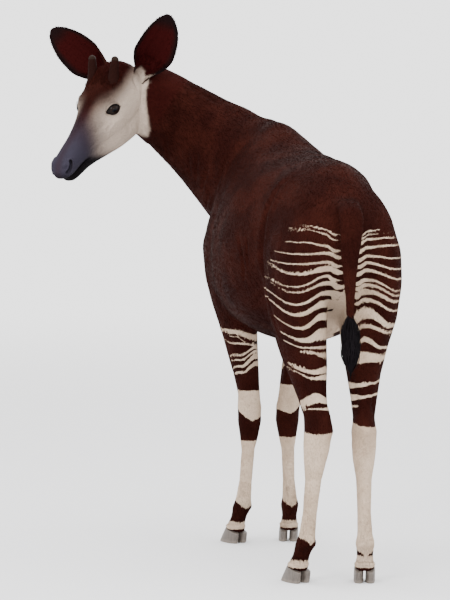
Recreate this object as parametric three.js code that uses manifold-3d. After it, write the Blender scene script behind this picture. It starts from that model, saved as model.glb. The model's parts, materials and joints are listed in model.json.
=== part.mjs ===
// A life-size okapi that stands on four feet and looks back over its left shoulder.
// Millimetres: +X is the animal's left, -Y is forward, +Z is up, and the hooves stand on z = 0.
import * as THREE from "three";
import { mergeVertices } from "three/addons/utils/BufferGeometryUtils.js";
import Module from "manifold-3d";

// Driving dimensions
const WITHERS = 1538; // height of the shoulders' ridge
const CROUP = 1402; // height of the back over the hips
const BELLY = 770; // lowest line of the belly
const RIBS_HALF = 296; // half the width of the barrel
const GAP = 0.3; // left between pieces that meet
const SLIVER = 0.1; // details smaller than this are dropped
const NECK_YAW_DEG = 56; // the way from the shoulders to the poll, turned to the left
const NECK_REACH = { across: 452, forward: 425, rise: 432 }; // from the neck's root to the back of the skull
const HEAD_YAW_DEG = 127; // the way the nose points, turned from straight ahead to the left
const HEAD_DOWN_DEG = 39; // the nose's tilt below the horizon
const HEAD_ROLL_DEG = 4;
const HEAD_SCALE = 1.05; // the rows of the head are for a head 510 mm long
const EYE_RADIUS = 27;
const EAR_HALF_WIDTH = 72;
const EAR_THICKNESS = 5;
const OSSICONE_LENGTH = 110;
const CORONET_HEIGHT = 50; // where hair meets horn, at the middle of the foot
const CORONET_SLOPE_DEG = 16; // the hoof's top edge is higher in front
const CLEFT = 5; // between the two claws of a foot
const TAIL_LENGTH = 430; // from its root to the last bone
const LOCK_COUNT = 9;
const LOCK_LENGTH = 150;

const COLOURS = {
  coat: 0x38190f,
  cream: 0xcdbcae,
  face: 0xa89c92,
  hoof: 0x8a817b,
  eye: 0x0b0708,
  tuft: 0x15111c,
  ossicone: 0x3c2620,
};

function finish(colour, roughness) {
  return new THREE.MeshStandardMaterial({ color: colour, roughness, metalness: 0 });
}

const MATERIALS = {
  coat: finish(COLOURS.coat, 0.85),
  leg: finish(COLOURS.cream, 0.85),
  face: finish(COLOURS.face, 0.85),
  hoof: finish(COLOURS.hoof, 0.55),
  eye: finish(COLOURS.eye, 0.08),
  tail: finish(COLOURS.tuft, 0.8),
  ossicone: finish(COLOURS.ossicone, 0.7),
};

const wasm = await Module();
wasm.setup();

// Shape helpers

function radians(degrees) {
  return THREE.MathUtils.degToRad(degrees);
}

// A closed geometry as a solid that can be joined and cut.
function solid(geometry) {
  const bare = geometry.clone();
  bare.deleteAttribute("normal");
  bare.deleteAttribute("uv");
  const merged = mergeVertices(bare, 1e-3);
  return new wasm.Manifold(
    new wasm.Mesh({
      numProp: 3,
      vertProperties: merged.attributes.position.array,
      triVerts: new Uint32Array(merged.index.array),
    }),
  );
}

// The largest closed body of a solid, without its slivers, as a geometry.
function geometryOf(made) {
  const bodies = made.simplify(SLIVER).decompose().sort((a, b) => b.volume() - a.volume());
  const mesh = bodies[0].getMesh();
  const points = new Float32Array(mesh.numVert * 3);
  for (let i = 0; i < mesh.numVert; i++) {
    const first = i * mesh.numProp;
    points.set(mesh.vertProperties.subarray(first, first + 3), i * 3);
  }
  const geometry = new THREE.BufferGeometry();
  geometry.setAttribute("position", new THREE.BufferAttribute(points, 3));
  geometry.setIndex(new THREE.BufferAttribute(mesh.triVerts, 1));
  return geometry;
}

function union(solids) {
  return solids.reduce((joined, next) => joined.add(next));
}

// A smooth curve through one size of each row, with no overshoot between rows.
function profile(rows, key) {
  const steps = rows.slice(1).map((row, i) => (row[key] - rows[i][key]) / (row.at - rows[i].at));
  const slopes = rows.map((_, i) => {
    const before = steps[Math.max(0, i - 1)];
    const after = steps[Math.min(steps.length - 1, i)];
    return before * after <= 0 ? 0 : (2 * before * after) / (before + after);
  });
  return (place) => {
    const last = rows.length - 2;
    const i = Math.min(last, Math.max(0, rows.findIndex((row) => row.at > place) - 1));
    const k = place >= rows[last + 1].at ? last : i;
    const width = rows[k + 1].at - rows[k].at;
    const t = THREE.MathUtils.clamp((place - rows[k].at) / width, 0, 1);
    const rise = rows[k + 1][key] - rows[k][key];
    const curve = t * t * (3 - 2 * t);
    const bend = slopes[k] * t * (1 - t) ** 2 - slopes[k + 1] * t * t * (1 - t);
    return rows[k][key] + rise * curve + bend * width;
  };
}

// Rows between the given ones, perGap of them from each row to the next.
function fill(rows, perGap) {
  const keys = Object.keys(rows[0]).filter((key) => key !== "at");
  const curves = Object.fromEntries(keys.map((key) => [key, profile(rows, key)]));
  const places = rows.slice(1).flatMap((row, i) =>
    Array.from({ length: perGap }, (_, k) => rows[i].at + ((row.at - rows[i].at) * k) / perGap),
  );
  places.push(rows[rows.length - 1].at);
  return places.map((at) => ({
    at,
    ...Object.fromEntries(keys.map((key) => [key, curves[key](at)])),
  }));
}

function power(value, exponent) {
  return Math.sign(value) * Math.abs(value) ** exponent;
}

// One oval: half its width, its reach up and down, and how square each half is (2 is an ellipse).
function oval({ half, up, down, squareUp = 2, squareDown = 2 }, sides, place) {
  return Array.from({ length: sides }, (_, i) => {
    const angle = (i / sides) * 2 * Math.PI;
    const above = Math.sin(angle) >= 0;
    const square = 2 / (above ? squareUp : squareDown);
    const across = half * power(Math.cos(angle), square);
    return place(across, (above ? up : down) * power(Math.sin(angle), square));
  });
}

// A closed skin over a line of rings with as many points each, its ends closed by fans.
function loft(rings) {
  const sides = rings[0].length;
  const points = rings.flat();
  const middle = (ring) =>
    ring.reduce((sum, point) => sum.add(point), new THREE.Vector3()).divideScalar(sides);
  const start = points.push(middle(rings[0])) - 1;
  const end = points.push(middle(rings[rings.length - 1])) - 1;
  const faces = [];
  rings.slice(1).forEach((_, row) => {
    for (let i = 0; i < sides; i++) {
      const next = (i + 1) % sides;
      const [a, b] = [row * sides + i, row * sides + next];
      const [c, d] = [a + sides, b + sides];
      faces.push(a, b, d, a, d, c);
    }
  });
  const top = (rings.length - 1) * sides;
  for (let i = 0; i < sides; i++) {
    const next = (i + 1) % sides;
    faces.push(start, next, i);
    faces.push(end, top + i, top + next);
  }
  return facingOut(points, faces);
}

// A geometry from points and triangles, turned round if its faces point in.
function facingOut(points, faces) {
  let volume = 0;
  for (let i = 0; i < faces.length; i += 3) {
    const [a, b, c] = [points[faces[i]], points[faces[i + 1]], points[faces[i + 2]]];
    volume += a.dot(new THREE.Vector3().crossVectors(b, c));
  }
  const turned = [...faces];
  for (let i = 0; volume < 0 && i < faces.length; i += 3) {
    [turned[i + 1], turned[i + 2]] = [faces[i + 2], faces[i + 1]];
  }
  return new THREE.BufferGeometry().setFromPoints(points).setIndex(turned);
}

function ellipsoid(radii, centre, rotation = new THREE.Euler(), segments = [16, 12]) {
  const geometry = new THREE.SphereGeometry(1, ...segments);
  const turn = new THREE.Quaternion().setFromEuler(rotation);
  geometry.applyMatrix4(new THREE.Matrix4().compose(centre, turn, radii));
  return solid(geometry);
}

// Both sides of a plane through a point, kept half a gap clear of it: [the normal's side, the other].
function part(made, point, normal) {
  const way = normal.clone().normalize();
  const offset = way.dot(point);
  const back = way.clone().negate();
  return [
    made.trimByPlane(way.toArray(), offset + GAP / 2),
    made.trimByPlane(back.toArray(), GAP / 2 - offset),
  ];
}

// Torso: sections from the breast to the buttocks. at is the place along Y, mid the widest level.
const TORSO_SIDES = 28;
const TORSO_ROWS = [
  { at: -660, mid: 1125, half: 30, top: 1160, low: 1085, roof: 2 },
  { at: -636, mid: 1125, half: 92, top: 1240, low: 1005, roof: 2 },
  { at: -575, mid: 1120, half: 158, top: 1350, low: 915, roof: 1.95 },
  { at: -480, mid: 1110, half: 216, top: 1452, low: 850, roof: 1.85 },
  { at: -370, mid: 1095, half: 256, top: WITHERS - 8, low: 806, roof: 1.75 },
  { at: -290, mid: 1085, half: 275, top: WITHERS, low: 788, roof: 1.7 },
  { at: -130, mid: 1075, half: RIBS_HALF - 4, top: 1468, low: BELLY + 4, roof: 1.85 },
  { at: 60, mid: 1078, half: RIBS_HALF, top: 1430, low: BELLY, roof: 1.95 },
  { at: 210, mid: 1098, half: 268, top: CROUP + 12, low: 800, roof: 1.95 },
  { at: 340, mid: 1115, half: 226, top: CROUP + 4, low: 852, roof: 1.9 },
  { at: 440, mid: 1120, half: 206, top: CROUP - 8, low: 900, roof: 1.8 },
  { at: 540, mid: 1125, half: 190, top: 1345, low: 945, roof: 1.8 },
  { at: 615, mid: 1130, half: 142, top: 1275, low: 1000, roof: 1.85 },
  { at: 660, mid: 1140, half: 78, top: 1215, low: 1060, roof: 2 },
  { at: 678, mid: 1140, half: 30, top: 1174, low: 1106, roof: 2 },
];

function torsoSkin(grow = 0) {
  return loft(
    fill(TORSO_ROWS, 2).map((row) =>
      oval(
        {
          half: row.half + grow,
          up: row.top - row.mid + grow,
          down: row.mid - row.low + grow,
          squareUp: row.roof,
          squareDown: 2.15,
        },
        TORSO_SIDES,
        (x, z) => new THREE.Vector3(x, row.at, row.mid + z),
      ),
    ),
  );
}

// Neck: a curve from inside the shoulders to the back of the skull, at being the share of the way.
const NECK_SIDES = 26;
const NECK_ROOT = new THREE.Vector3(0, -325, 1262);
const SKULL_BACK = new THREE.Vector3(
  NECK_REACH.across,
  NECK_ROOT.y - NECK_REACH.forward,
  NECK_ROOT.z + NECK_REACH.rise,
);
const NECK_ROWS = [
  { at: 0, half: 160, up: 180, down: 215 },
  { at: 0.18, half: 184, up: 198, down: 272 },
  { at: 0.36, half: 162, up: 160, down: 248 },
  { at: 0.55, half: 126, up: 130, down: 214 },
  { at: 0.75, half: 103, up: 108, down: 184 },
  { at: 0.92, half: 88, up: 98, down: 158 },
  { at: 1, half: 74, up: 84, down: 118 },
];

function neckCurve() {
  const across = Math.sin(radians(NECK_YAW_DEG));
  const forward = -Math.cos(radians(NECK_YAW_DEG));
  const leave = new THREE.Vector3(0.02, -0.9, 0.42).multiplyScalar(300);
  const arrive = new THREE.Vector3(across + 0.1, forward * 0.25, 0.36).multiplyScalar(205);
  return new THREE.CubicBezierCurve3(
    NECK_ROOT,
    NECK_ROOT.clone().add(leave),
    SKULL_BACK.clone().sub(arrive),
    SKULL_BACK,
  );
}

const UP = new THREE.Vector3(0, 0, 1);

function neckSkin(grow = 0) {
  const curve = neckCurve();
  return loft(
    fill(NECK_ROWS, 3).map((row) => {
      const middle = curve.getPoint(row.at);
      const ahead = curve.getTangent(row.at);
      const left = new THREE.Vector3().crossVectors(UP, ahead).normalize();
      const above = new THREE.Vector3().crossVectors(ahead, left);
      const size = { half: row.half + grow, up: row.up + grow, down: row.down + grow };
      return oval({ ...size, squareUp: 1.9, squareDown: 2.1 }, NECK_SIDES, (x, z) =>
        middle.clone().addScaledVector(left, x).addScaledVector(above, z),
      );
    }),
  );
}

// Head: in its own frame, whose origin is the back of the skull, with the nose towards -Y.
const headFrame = new THREE.Group();
headFrame.position.copy(SKULL_BACK);
headFrame.rotation.set(
  radians(HEAD_DOWN_DEG),
  radians(HEAD_ROLL_DEG),
  radians(HEAD_YAW_DEG),
  "ZXY",
);
headFrame.scale.setScalar(HEAD_SCALE);
headFrame.updateMatrix();

const HEAD_SIDES = 24;
// at is the way from the back of the skull to the nose; roof and floor say how square each half is.
const SKULL_ROWS = [
  { at: -22, mid: 14, half: 26, top: 44, low: -16, roof: 2, floor: 2 },
  { at: -4, mid: 14, half: 58, top: 90, low: -48, roof: 2, floor: 2 },
  { at: 40, mid: 12, half: 76, top: 127, low: -74, roof: 2.1, floor: 2.1 },
  { at: 95, mid: 16, half: 81, top: 133, low: -84, roof: 2.3, floor: 2.1 },
  { at: 145, mid: 24, half: 88, top: 119, low: -78, roof: 2.5, floor: 2.2 },
  { at: 190, mid: 28, half: 91, top: 106, low: -68, roof: 2.5, floor: 2.3 },
  { at: 235, mid: 16, half: 75, top: 92, low: -58, roof: 2.2, floor: 2.5 },
  { at: 300, mid: 4, half: 55, top: 71, low: -48, roof: 2.1, floor: 2.8 },
  { at: 370, mid: -2, half: 44, top: 53, low: -42, roof: 2.1, floor: 3 },
  { at: 425, mid: -4, half: 43, top: 41, low: -38, roof: 2.2, floor: 3 },
  { at: 466, mid: -8, half: 45, top: 27, low: -37, roof: 2.3, floor: 2.8 },
  { at: 490, mid: -12, half: 37, top: 11, low: -35, roof: 2.3, floor: 2.5 },
  { at: 502, mid: -16, half: 20, top: -3, low: -29, roof: 2.2, floor: 2.2 },
];
const JAW_ROWS = [
  { at: 28, mid: -44, half: 36, top: -5, low: -90, roof: 2, floor: 2.1 },
  { at: 58, mid: -54, half: 58, top: 5, low: -128, roof: 2, floor: 2.1 },
  { at: 112, mid: -54, half: 68, top: 8, low: -144, roof: 2, floor: 2.1 },
  { at: 190, mid: -48, half: 63, top: 6, low: -134, roof: 2.2, floor: 2.1 },
  { at: 280, mid: -44, half: 46, top: -8, low: -110, roof: 2.6, floor: 2.1 },
  { at: 370, mid: -47, half: 35, top: -26, low: -84, roof: 3, floor: 2.1 },
  { at: 430, mid: -51, half: 33, top: -32, low: -75, roof: 3, floor: 2.1 },
  { at: 462, mid: -51, half: 29, top: -33, low: -69, roof: 3, floor: 2.2 },
  { at: 478, mid: -49, half: 16, top: -38, low: -60, roof: 2.4, floor: 2.2 },
];

function headLoft(rows, grow = 0) {
  return solid(
    loft(
      fill(rows, 2).map((row) =>
        oval(
          {
            half: Math.max(6, row.half + grow),
            up: Math.max(4, row.top - row.mid + grow),
            down: Math.max(4, row.mid - row.low + grow),
            squareUp: row.roof,
            squareDown: row.floor,
          },
          HEAD_SIDES,
          (x, z) => new THREE.Vector3(x, -row.at, row.mid + z),
        ),
      ),
    ),
  );
}

// A place in the head's frame: side is +1 on the animal's left.
function onHead(side, across, ahead, above) {
  return new THREE.Vector3(side * across, -ahead, above);
}

const EYE = { across: 62, ahead: 203, above: 44 };
const LID_THICKNESS = 3.2;
const EYE_OPENING = { length: 53, height: 34, tilt: 14 };

// The way the eye looks, and its frame: X along the lids towards the nose, Z out of the head.
function eyeMatrix(side) {
  const out = new THREE.Vector3(side * 0.88, -0.42, 0.2).normalize();
  const along = new THREE.Vector3(0, -1, 0).addScaledVector(out, out.y).normalize();
  along.applyAxisAngle(out, side * radians(-EYE_OPENING.tilt));
  const across = new THREE.Vector3().crossVectors(out, along);
  const frame = new THREE.Matrix4().makeBasis(along, across, out);
  return frame.setPosition(onHead(side, EYE.across, EYE.ahead, EYE.above));
}

// The almond between the lids, as a prism that runs out from the middle of the eye.
function eyeOpening(side) {
  const { length, height } = EYE_OPENING;
  const shape = new THREE.Shape();
  shape.moveTo(length / 2, 0);
  shape.bezierCurveTo(length * 0.28, height * 0.72, -length * 0.3, height * 0.7, -length / 2, 0);
  shape.bezierCurveTo(-length * 0.28, -height * 0.6, length * 0.3, -height * 0.62, length / 2, 0);
  const prism = new THREE.ExtrudeGeometry(shape, {
    depth: 60,
    bevelEnabled: false,
    curveSegments: 8,
  });
  return solid(prism.applyMatrix4(eyeMatrix(side)));
}

function eyeball(side, radius) {
  return ellipsoid(
    new THREE.Vector3(radius, radius, radius),
    onHead(side, EYE.across, EYE.ahead, EYE.above),
    new THREE.Euler(0, 0, (side * Math.PI) / 2),
    [14, 10],
  );
}

function nostrilWing(side) {
  return ellipsoid(
    new THREE.Vector3(13, 26, 14),
    onHead(side, 29, 466, 4),
    new THREE.Euler(radians(-24), 0, side * radians(-14)),
  );
}

function nostril(side) {
  return ellipsoid(
    new THREE.Vector3(7, 19, 5),
    onHead(side, 41, 474, 4),
    new THREE.Euler(radians(-38), 0, side * radians(-22)),
    [12, 8],
  );
}

// The line of the mouth: a thin curved slot round the muzzle, as deep as the lips.
function mouthLine() {
  const width = 3.4;
  const line = new THREE.CatmullRomCurve3([
    new THREE.Vector3(366, -46, 0),
    new THREE.Vector3(392, -37, 0),
    new THREE.Vector3(440, -36.5, 0),
    new THREE.Vector3(530, -34, 0),
  ]).getPoints(10);
  const upper = line.map((p) => new THREE.Vector2(p.x, p.y + width / 2));
  const lower = line.map((p) => new THREE.Vector2(p.x, p.y - width / 2)).reverse();
  const strip = new THREE.ExtrudeGeometry(new THREE.Shape([...upper, ...lower]), {
    depth: 140,
    bevelEnabled: false,
  });
  strip.translate(0, 0, -70);
  const turn = new THREE.Matrix4().makeBasis(
    new THREE.Vector3(0, -1, 0),
    new THREE.Vector3(0, 0, 1),
    new THREE.Vector3(-1, 0, 0),
  );
  const depth = 7;
  const core = union([headLoft(SKULL_ROWS, -depth), headLoft(JAW_ROWS, -depth)]);
  return solid(strip.applyMatrix4(turn)).subtract(core);
}

function wholeHead() {
  const sides = [1, -1];
  const flesh = union([
    headLoft(SKULL_ROWS),
    headLoft(JAW_ROWS),
    ...sides.map(nostrilWing),
    ...sides.map((side) => eyeball(side, EYE_RADIUS + LID_THICKNESS)),
  ]);
  return flesh
    .subtract(union(sides.map(eyeOpening)))
    .subtract(union(sides.map((side) => eyeball(side, EYE_RADIUS + GAP))))
    .subtract(union(sides.map(nostril)))
    .subtract(mouthLine());
}

// The head and the neck, a gap larger all round, in the head's frame.
function grownHead() {
  const backToHead = headFrame.matrix.clone().invert();
  const neck = solid(neckSkin(GAP)).transform(backToHead.toArray());
  return union([headLoft(SKULL_ROWS, GAP), headLoft(JAW_ROWS, GAP), neck]);
}

// Ears: a leaf-shaped cup. at runs from root to tip, half and deep are the cup's size there.
const EAR_ROWS = [
  { at: 0, half: 22, deep: 34 },
  { at: 0.14, half: 26, deep: 42 },
  { at: 0.24, half: 36, deep: 50 },
  { at: 0.38, half: EAR_HALF_WIDTH - 14, deep: 52 },
  { at: 0.54, half: EAR_HALF_WIDTH, deep: 43 },
  { at: 0.7, half: EAR_HALF_WIDTH - 5, deep: 32 },
  { at: 0.84, half: EAR_HALF_WIDTH - 19, deep: 21 },
  { at: 0.93, half: 35, deep: 11 },
  { at: 0.98, half: 17, deep: 4 },
  { at: 1, half: 4, deep: 1.5 },
];
const EAR_ACROSS = 10;
const EAR_CURL = 22; // how far the tip leans the way the cup faces
// In the head's frame, from inside the skull to the tip, and the way each cup faces.
const EARS = {
  left: { root: [56, 40, 40], by: [138, 6, 86], tip: [196, -108, 232], face: [0.66, -0.62, 0.2] },
  right: { root: [56, 40, 40], by: [158, 10, 84], tip: [274, -16, 222], face: [-0.25, -0.8, 0.5] },
};

// A row of points across the cup, from rim to rim, lying depth inside its back.
function cupRow(row, depth) {
  const radius = (row.half ** 2 + row.deep ** 2) / (2 * row.deep);
  const reach = Math.acos(THREE.MathUtils.clamp(1 - row.deep / radius, -1, 1));
  return Array.from({ length: EAR_ACROSS + 1 }, (_, i) => {
    const angle = reach * ((2 * i) / EAR_ACROSS - 1);
    const thin = Math.min(depth, radius * 0.6) * Math.cos((angle / reach) * (Math.PI / 2.4));
    const r = radius - thin;
    return new THREE.Vector2(r * Math.sin(angle), radius - row.deep - r * Math.cos(angle));
  });
}

function ear(side, { root, by, tip, face }) {
  const [start, bend, end] = [root, by, tip].map((place) => onHead(side, ...place));
  const axis = new THREE.QuadraticBezierCurve3(start, bend, end);
  const facing = new THREE.Vector3(side * face[0], face[1], face[2]);
  const rings = fill(EAR_ROWS, 2).map((row) => {
    const up = axis.getTangent(row.at);
    const out = facing.clone().addScaledVector(up, -facing.dot(up)).normalize();
    const across = new THREE.Vector3().crossVectors(up, out);
    const place = (p) =>
      axis
        .getPoint(row.at)
        .addScaledVector(across, p.x)
        .addScaledVector(out, p.y + EAR_CURL * row.at ** 2);
    return [...cupRow(row, 0), ...cupRow(row, EAR_THICKNESS).reverse()].map(place);
  });
  return solid(loft(rings)).subtract(grownHead());
}

// Ossicones: the male's two skin-covered horns, which lean back from above the eyes.
const OSSICONE_ROWS = [
  { at: 0, half: 23 },
  { at: 0.2, half: 17 },
  { at: 0.6, half: 12.5 },
  { at: 0.86, half: 10.5 },
  { at: 0.97, half: 7 },
  { at: 1, half: 3 },
];

function ossicone(side) {
  const root = onHead(side, 44, 138, 88);
  const tip = onHead(side, 54, 70, 88 + 92);
  const way = tip.clone().sub(root).normalize();
  const left = new THREE.Vector3(1, 0, 0).addScaledVector(way, -way.x).normalize();
  const above = new THREE.Vector3().crossVectors(way, left);
  const rings = fill(OSSICONE_ROWS, 2).map((row) =>
    oval({ half: row.half, up: row.half * 1.1, down: row.half * 1.1 }, 12, (x, z) =>
      root
        .clone()
        .addScaledVector(way, row.at * OSSICONE_LENGTH)
        .addScaledVector(left, x)
        .addScaledVector(above, z),
    ),
  );
  return solid(loft(rings)).subtract(grownHead());
}

// Legs: level sections from the body down. at is the height, x and y the section's middle.
const LEG_SIDES = 16;
const FORELEG_ROWS = [
  { at: 20, x: 106, y: -502, half: 33, fore: 30, aft: 40 },
  { at: 48, x: 105, y: -494, half: 35, fore: 38, aft: 40 },
  { at: 70, x: 102, y: -482, half: 32, fore: 36, aft: 36 },
  { at: 98, x: 98, y: -466, half: 30, fore: 32, aft: 34 },
  { at: 136, x: 93, y: -448, half: 35, fore: 34, aft: 42 },
  { at: 172, x: 89, y: -443, half: 29, fore: 30, aft: 36 },
  { at: 235, x: 83, y: -442, half: 25, fore: 27, aft: 31 },
  { at: 345, x: 76, y: -443, half: 27, fore: 29, aft: 32 },
  { at: 405, x: 73, y: -447, half: 38, fore: 37, aft: 37 },
  { at: 452, x: 72, y: -450, half: 46, fore: 48, aft: 43 },
  { at: 500, x: 73, y: -450, half: 45, fore: 48, aft: 46 },
  { at: 550, x: 77, y: -446, half: 43, fore: 45, aft: 46 },
  { at: 630, x: 90, y: -440, half: 50, fore: 52, aft: 58 },
  { at: 720, x: 108, y: -430, half: 60, fore: 68, aft: 80 },
  { at: 800, x: 126, y: -418, half: 70, fore: 92, aft: 116 },
  { at: 880, x: 143, y: -412, half: 80, fore: 128, aft: 136 },
  { at: 980, x: 156, y: -408, half: 92, fore: 158, aft: 150 },
  { at: 1100, x: 158, y: -400, half: 98, fore: 162, aft: 150 },
  { at: 1230, x: 134, y: -375, half: 88, fore: 130, aft: 120 },
  { at: 1320, x: 92, y: -350, half: 38, fore: 60, aft: 60 },
];
const HINDLEG_ROWS = [
  { at: 20, x: 108, y: 478, half: 33, fore: 30, aft: 40 },
  { at: 48, x: 107, y: 486, half: 35, fore: 38, aft: 40 },
  { at: 70, x: 104, y: 498, half: 32, fore: 36, aft: 36 },
  { at: 98, x: 100, y: 514, half: 30, fore: 32, aft: 34 },
  { at: 132, x: 95, y: 532, half: 34, fore: 34, aft: 42 },
  { at: 172, x: 91, y: 540, half: 28, fore: 30, aft: 34 },
  { at: 240, x: 86, y: 546, half: 26, fore: 28, aft: 30 },
  { at: 350, x: 81, y: 555, half: 29, fore: 32, aft: 34 },
  { at: 420, x: 78, y: 562, half: 40, fore: 44, aft: 44 },
  { at: 470, x: 77, y: 566, half: 44, fore: 50, aft: 56 },
  { at: 515, x: 77, y: 566, half: 41, fore: 50, aft: 80 },
  { at: 560, x: 78, y: 556, half: 39, fore: 52, aft: 72 },
  { at: 620, x: 84, y: 535, half: 47, fore: 72, aft: 64 },
  { at: 700, x: 93, y: 498, half: 60, fore: 108, aft: 92 },
  { at: 790, x: 106, y: 462, half: 77, fore: 150, aft: 138 },
  { at: 890, x: 121, y: 448, half: 94, fore: 190, aft: 186 },
  { at: 1000, x: 129, y: 446, half: 98, fore: 208, aft: 216 },
  { at: 1110, x: 128, y: 444, half: 94, fore: 206, aft: 216 },
  { at: 1220, x: 108, y: 432, half: 78, fore: 176, aft: 176 },
  { at: 1280, x: 84, y: 425, half: 40, fore: 90, aft: 90 },
];

// Where each foot stands, as a lean of the whole leg from its pivot down, and how far its toes turn
// out. A leg turns fully below the height turned, and not at all above straight.
const FORE = { rows: FORELEG_ROWS, pivot: 900, turned: 140, straight: 520 };
const HIND = { rows: HINDLEG_ROWS, pivot: 950, turned: 480, straight: 900 };
const LEGS = [
  { name: "foreleg_left", side: 1, ...FORE, ahead: -12, out: 22, toes: 24 },
  { name: "foreleg_right", side: -1, ...FORE, ahead: -8, out: -26, toes: 12 },
  { name: "hindleg_left", side: 1, ...HIND, ahead: 34, out: 18, toes: 22 },
  { name: "hindleg_right", side: -1, ...HIND, ahead: -14, out: -10, toes: 14 },
];

// A point of a leg's section, with the lean and the turn that the leg has at that height.
function legPoint(leg, row, across, back) {
  const lean = Math.max(0, 1 - row.at / leg.pivot);
  const twist = THREE.MathUtils.smoothstep(leg.straight - row.at, 0, leg.straight - leg.turned);
  const turn = radians(leg.toes) * twist;
  const x = row.x + leg.out * lean ** 2 + across * Math.cos(turn) - back * Math.sin(turn);
  const y = row.y - leg.ahead * lean + across * Math.sin(turn) + back * Math.cos(turn);
  return new THREE.Vector3(leg.side * x, y, row.at);
}

function legSkin(leg) {
  return loft(
    leg.rows.map((row) =>
      oval({ half: row.half, up: row.aft, down: row.fore }, LEG_SIDES, (across, back) =>
        legPoint(leg, row, across, back),
      ),
    ),
  );
}

// The sloping plane between the hair and the horn of a foot.
function coronet(leg) {
  const foot = { ...leg.rows[1], at: CORONET_HEIGHT };
  const middle = legPoint(leg, foot, 0, 0);
  const ahead = legPoint(leg, foot, 0, -1).sub(middle).setZ(0).normalize();
  const slope = radians(CORONET_SLOPE_DEG);
  const normal = UP.clone().multiplyScalar(Math.cos(slope));
  return { middle, normal: normal.addScaledVector(ahead, -Math.sin(slope)) };
}

// The plane that parts a leg from the body, rising from the groin or armpit to the outside.
function legPlane(leg) {
  const hind = leg.rows === HINDLEG_ROWS;
  const point = new THREE.Vector3(leg.side * 140, hind ? 445 : -415, hind ? 960 : 900);
  const normal = new THREE.Vector3(-leg.side * (hind ? 0.5 : 0.38), hind ? -0.22 : 0, 1);
  return { point, normal };
}

// Hooves: each foot has two claws, with level sections that slope back from the toe.
const CLAW_SIDES = 14;
const CLAW_ROWS = [
  { at: 0, half: 15.5, fore: 60, aft: 40, shift: 0 },
  { at: 7, half: 16.5, fore: 57, aft: 44, shift: 0 },
  { at: 36, half: 16.5, fore: 38, aft: 47, shift: 3 },
  { at: 60, half: 15.5, fore: 20, aft: 44, shift: 8 },
  { at: 84, half: 13, fore: 6, aft: 38, shift: 14 },
];

function claw(leg, outer) {
  const base = leg.rows[1];
  const skin = loft(
    CLAW_ROWS.map((row) => {
      const middle = outer * (CLEFT / 2 + 17);
      const shape = { half: row.half, up: row.aft, down: row.fore, squareUp: 2.3, squareDown: 1.7 };
      return oval(shape, CLAW_SIDES, (across, back) =>
        legPoint(leg, { ...base, at: row.at }, middle + across, back),
      );
    }),
  );
  const { middle, normal } = coronet(leg);
  return part(solid(skin), middle, normal)[1];
}

// Tail: a flat dock that hangs against the buttocks, and a tuft of long locks.
const TAIL_ROOT = new THREE.Vector3(0, 596, 1262);
const DOCK_ROWS = [
  { at: 0, half: 43, deep: 22 },
  { at: 0.16, half: 43, deep: 22 },
  { at: 0.32, half: 39, deep: 18 },
  { at: 0.5, half: 28, deep: 14 },
  { at: 0.7, half: 17, deep: 10 },
  { at: 1, half: 9, deep: 7 },
];

function tailCurve() {
  const hang = new THREE.Vector3(10, 712, TAIL_ROOT.z - TAIL_LENGTH);
  return new THREE.CatmullRomCurve3(
    [
      TAIL_ROOT,
      new THREE.Vector3(0, 662, TAIL_ROOT.z - 14),
      new THREE.Vector3(6, 706, TAIL_ROOT.z - 78),
      new THREE.Vector3(14, 717, TAIL_ROOT.z - 190),
      hang,
    ],
    false,
    "centripetal",
  );
}

function dock() {
  const curve = tailCurve();
  const rings = fill(DOCK_ROWS, 3).map((row) => {
    const middle = curve.getPointAt(row.at);
    const ahead = curve.getTangentAt(row.at);
    const left = new THREE.Vector3(1, 0, 0);
    const above = new THREE.Vector3().crossVectors(left, ahead);
    return oval({ half: row.half, up: row.deep, down: row.deep }, 14, (x, z) =>
      middle.clone().addScaledVector(left, x).addScaledVector(above, z),
    );
  });
  return solid(loft(rings));
}

// A repeatable draw between 0 and 1.
function draw(seed) {
  const value = Math.sin(seed * 127.1 + 11.7) * 43758.5453;
  return value - Math.floor(value);
}

// One lock of the tuft: a flat blade rooted in the dock, which bellies out and then hangs in.
function lock(index) {
  const around = index * 2.399963;
  const share = 0.68 + 0.3 * (index / LOCK_COUNT);
  const root = tailCurve().getPointAt(share);
  const out = new THREE.Vector3(Math.cos(around), Math.sin(around) * 0.7, 0);
  const along = new THREE.Vector3(-Math.sin(around), Math.cos(around), 0);
  const length = LOCK_LENGTH * (0.85 + 0.3 * draw(index));
  const belly = 15 + 8 * draw(index + 40);
  const width = 9 + 3 * draw(index + 80);
  const steps = 4;
  const rings = Array.from({ length: steps + 1 }, (_, k) => {
    const t = k / steps;
    const middle = root
      .clone()
      .addScaledVector(out, belly * Math.sin(Math.min(1, t * 1.15) * Math.PI) + 2 - 3 * t)
      .addScaledVector(UP, -length * t);
    const half = width * (t < 0.3 ? 0.7 + t : 1) * (1 - t ** 2.2) + 0.6;
    const thick = 2.6 * (1 - t) + 0.5;
    const flat = [
      [-half, 0],
      [0, thick],
      [half, 0],
      [0, -thick],
    ];
    return flat.map(([a, b]) => middle.clone().addScaledVector(along, a).addScaledVector(out, b));
  });
  return solid(loft(rings));
}

// Parting and assembly

function world(made) {
  return made.transform(headFrame.matrix.toArray());
}

const headWhole = wholeHead();
const trunk = union([
  solid(torsoSkin()),
  solid(neckSkin()),
  world(headWhole),
  ...LEGS.map((leg) => {
    const { point, normal } = legPlane(leg);
    return part(solid(legSkin(leg)), point, normal)[0];
  }),
]);

const neckEnd = neckCurve();
const throat = {
  point: neckEnd.getPoint(0.93),
  normal: neckEnd.getTangent(0.95).multiplyScalar(0.8).add(headForward().multiplyScalar(0.6)),
};
const shoulder = {
  point: new THREE.Vector3(40, -490, 1330),
  normal: new THREE.Vector3(0.3, -0.8, 0.55),
};

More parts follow.
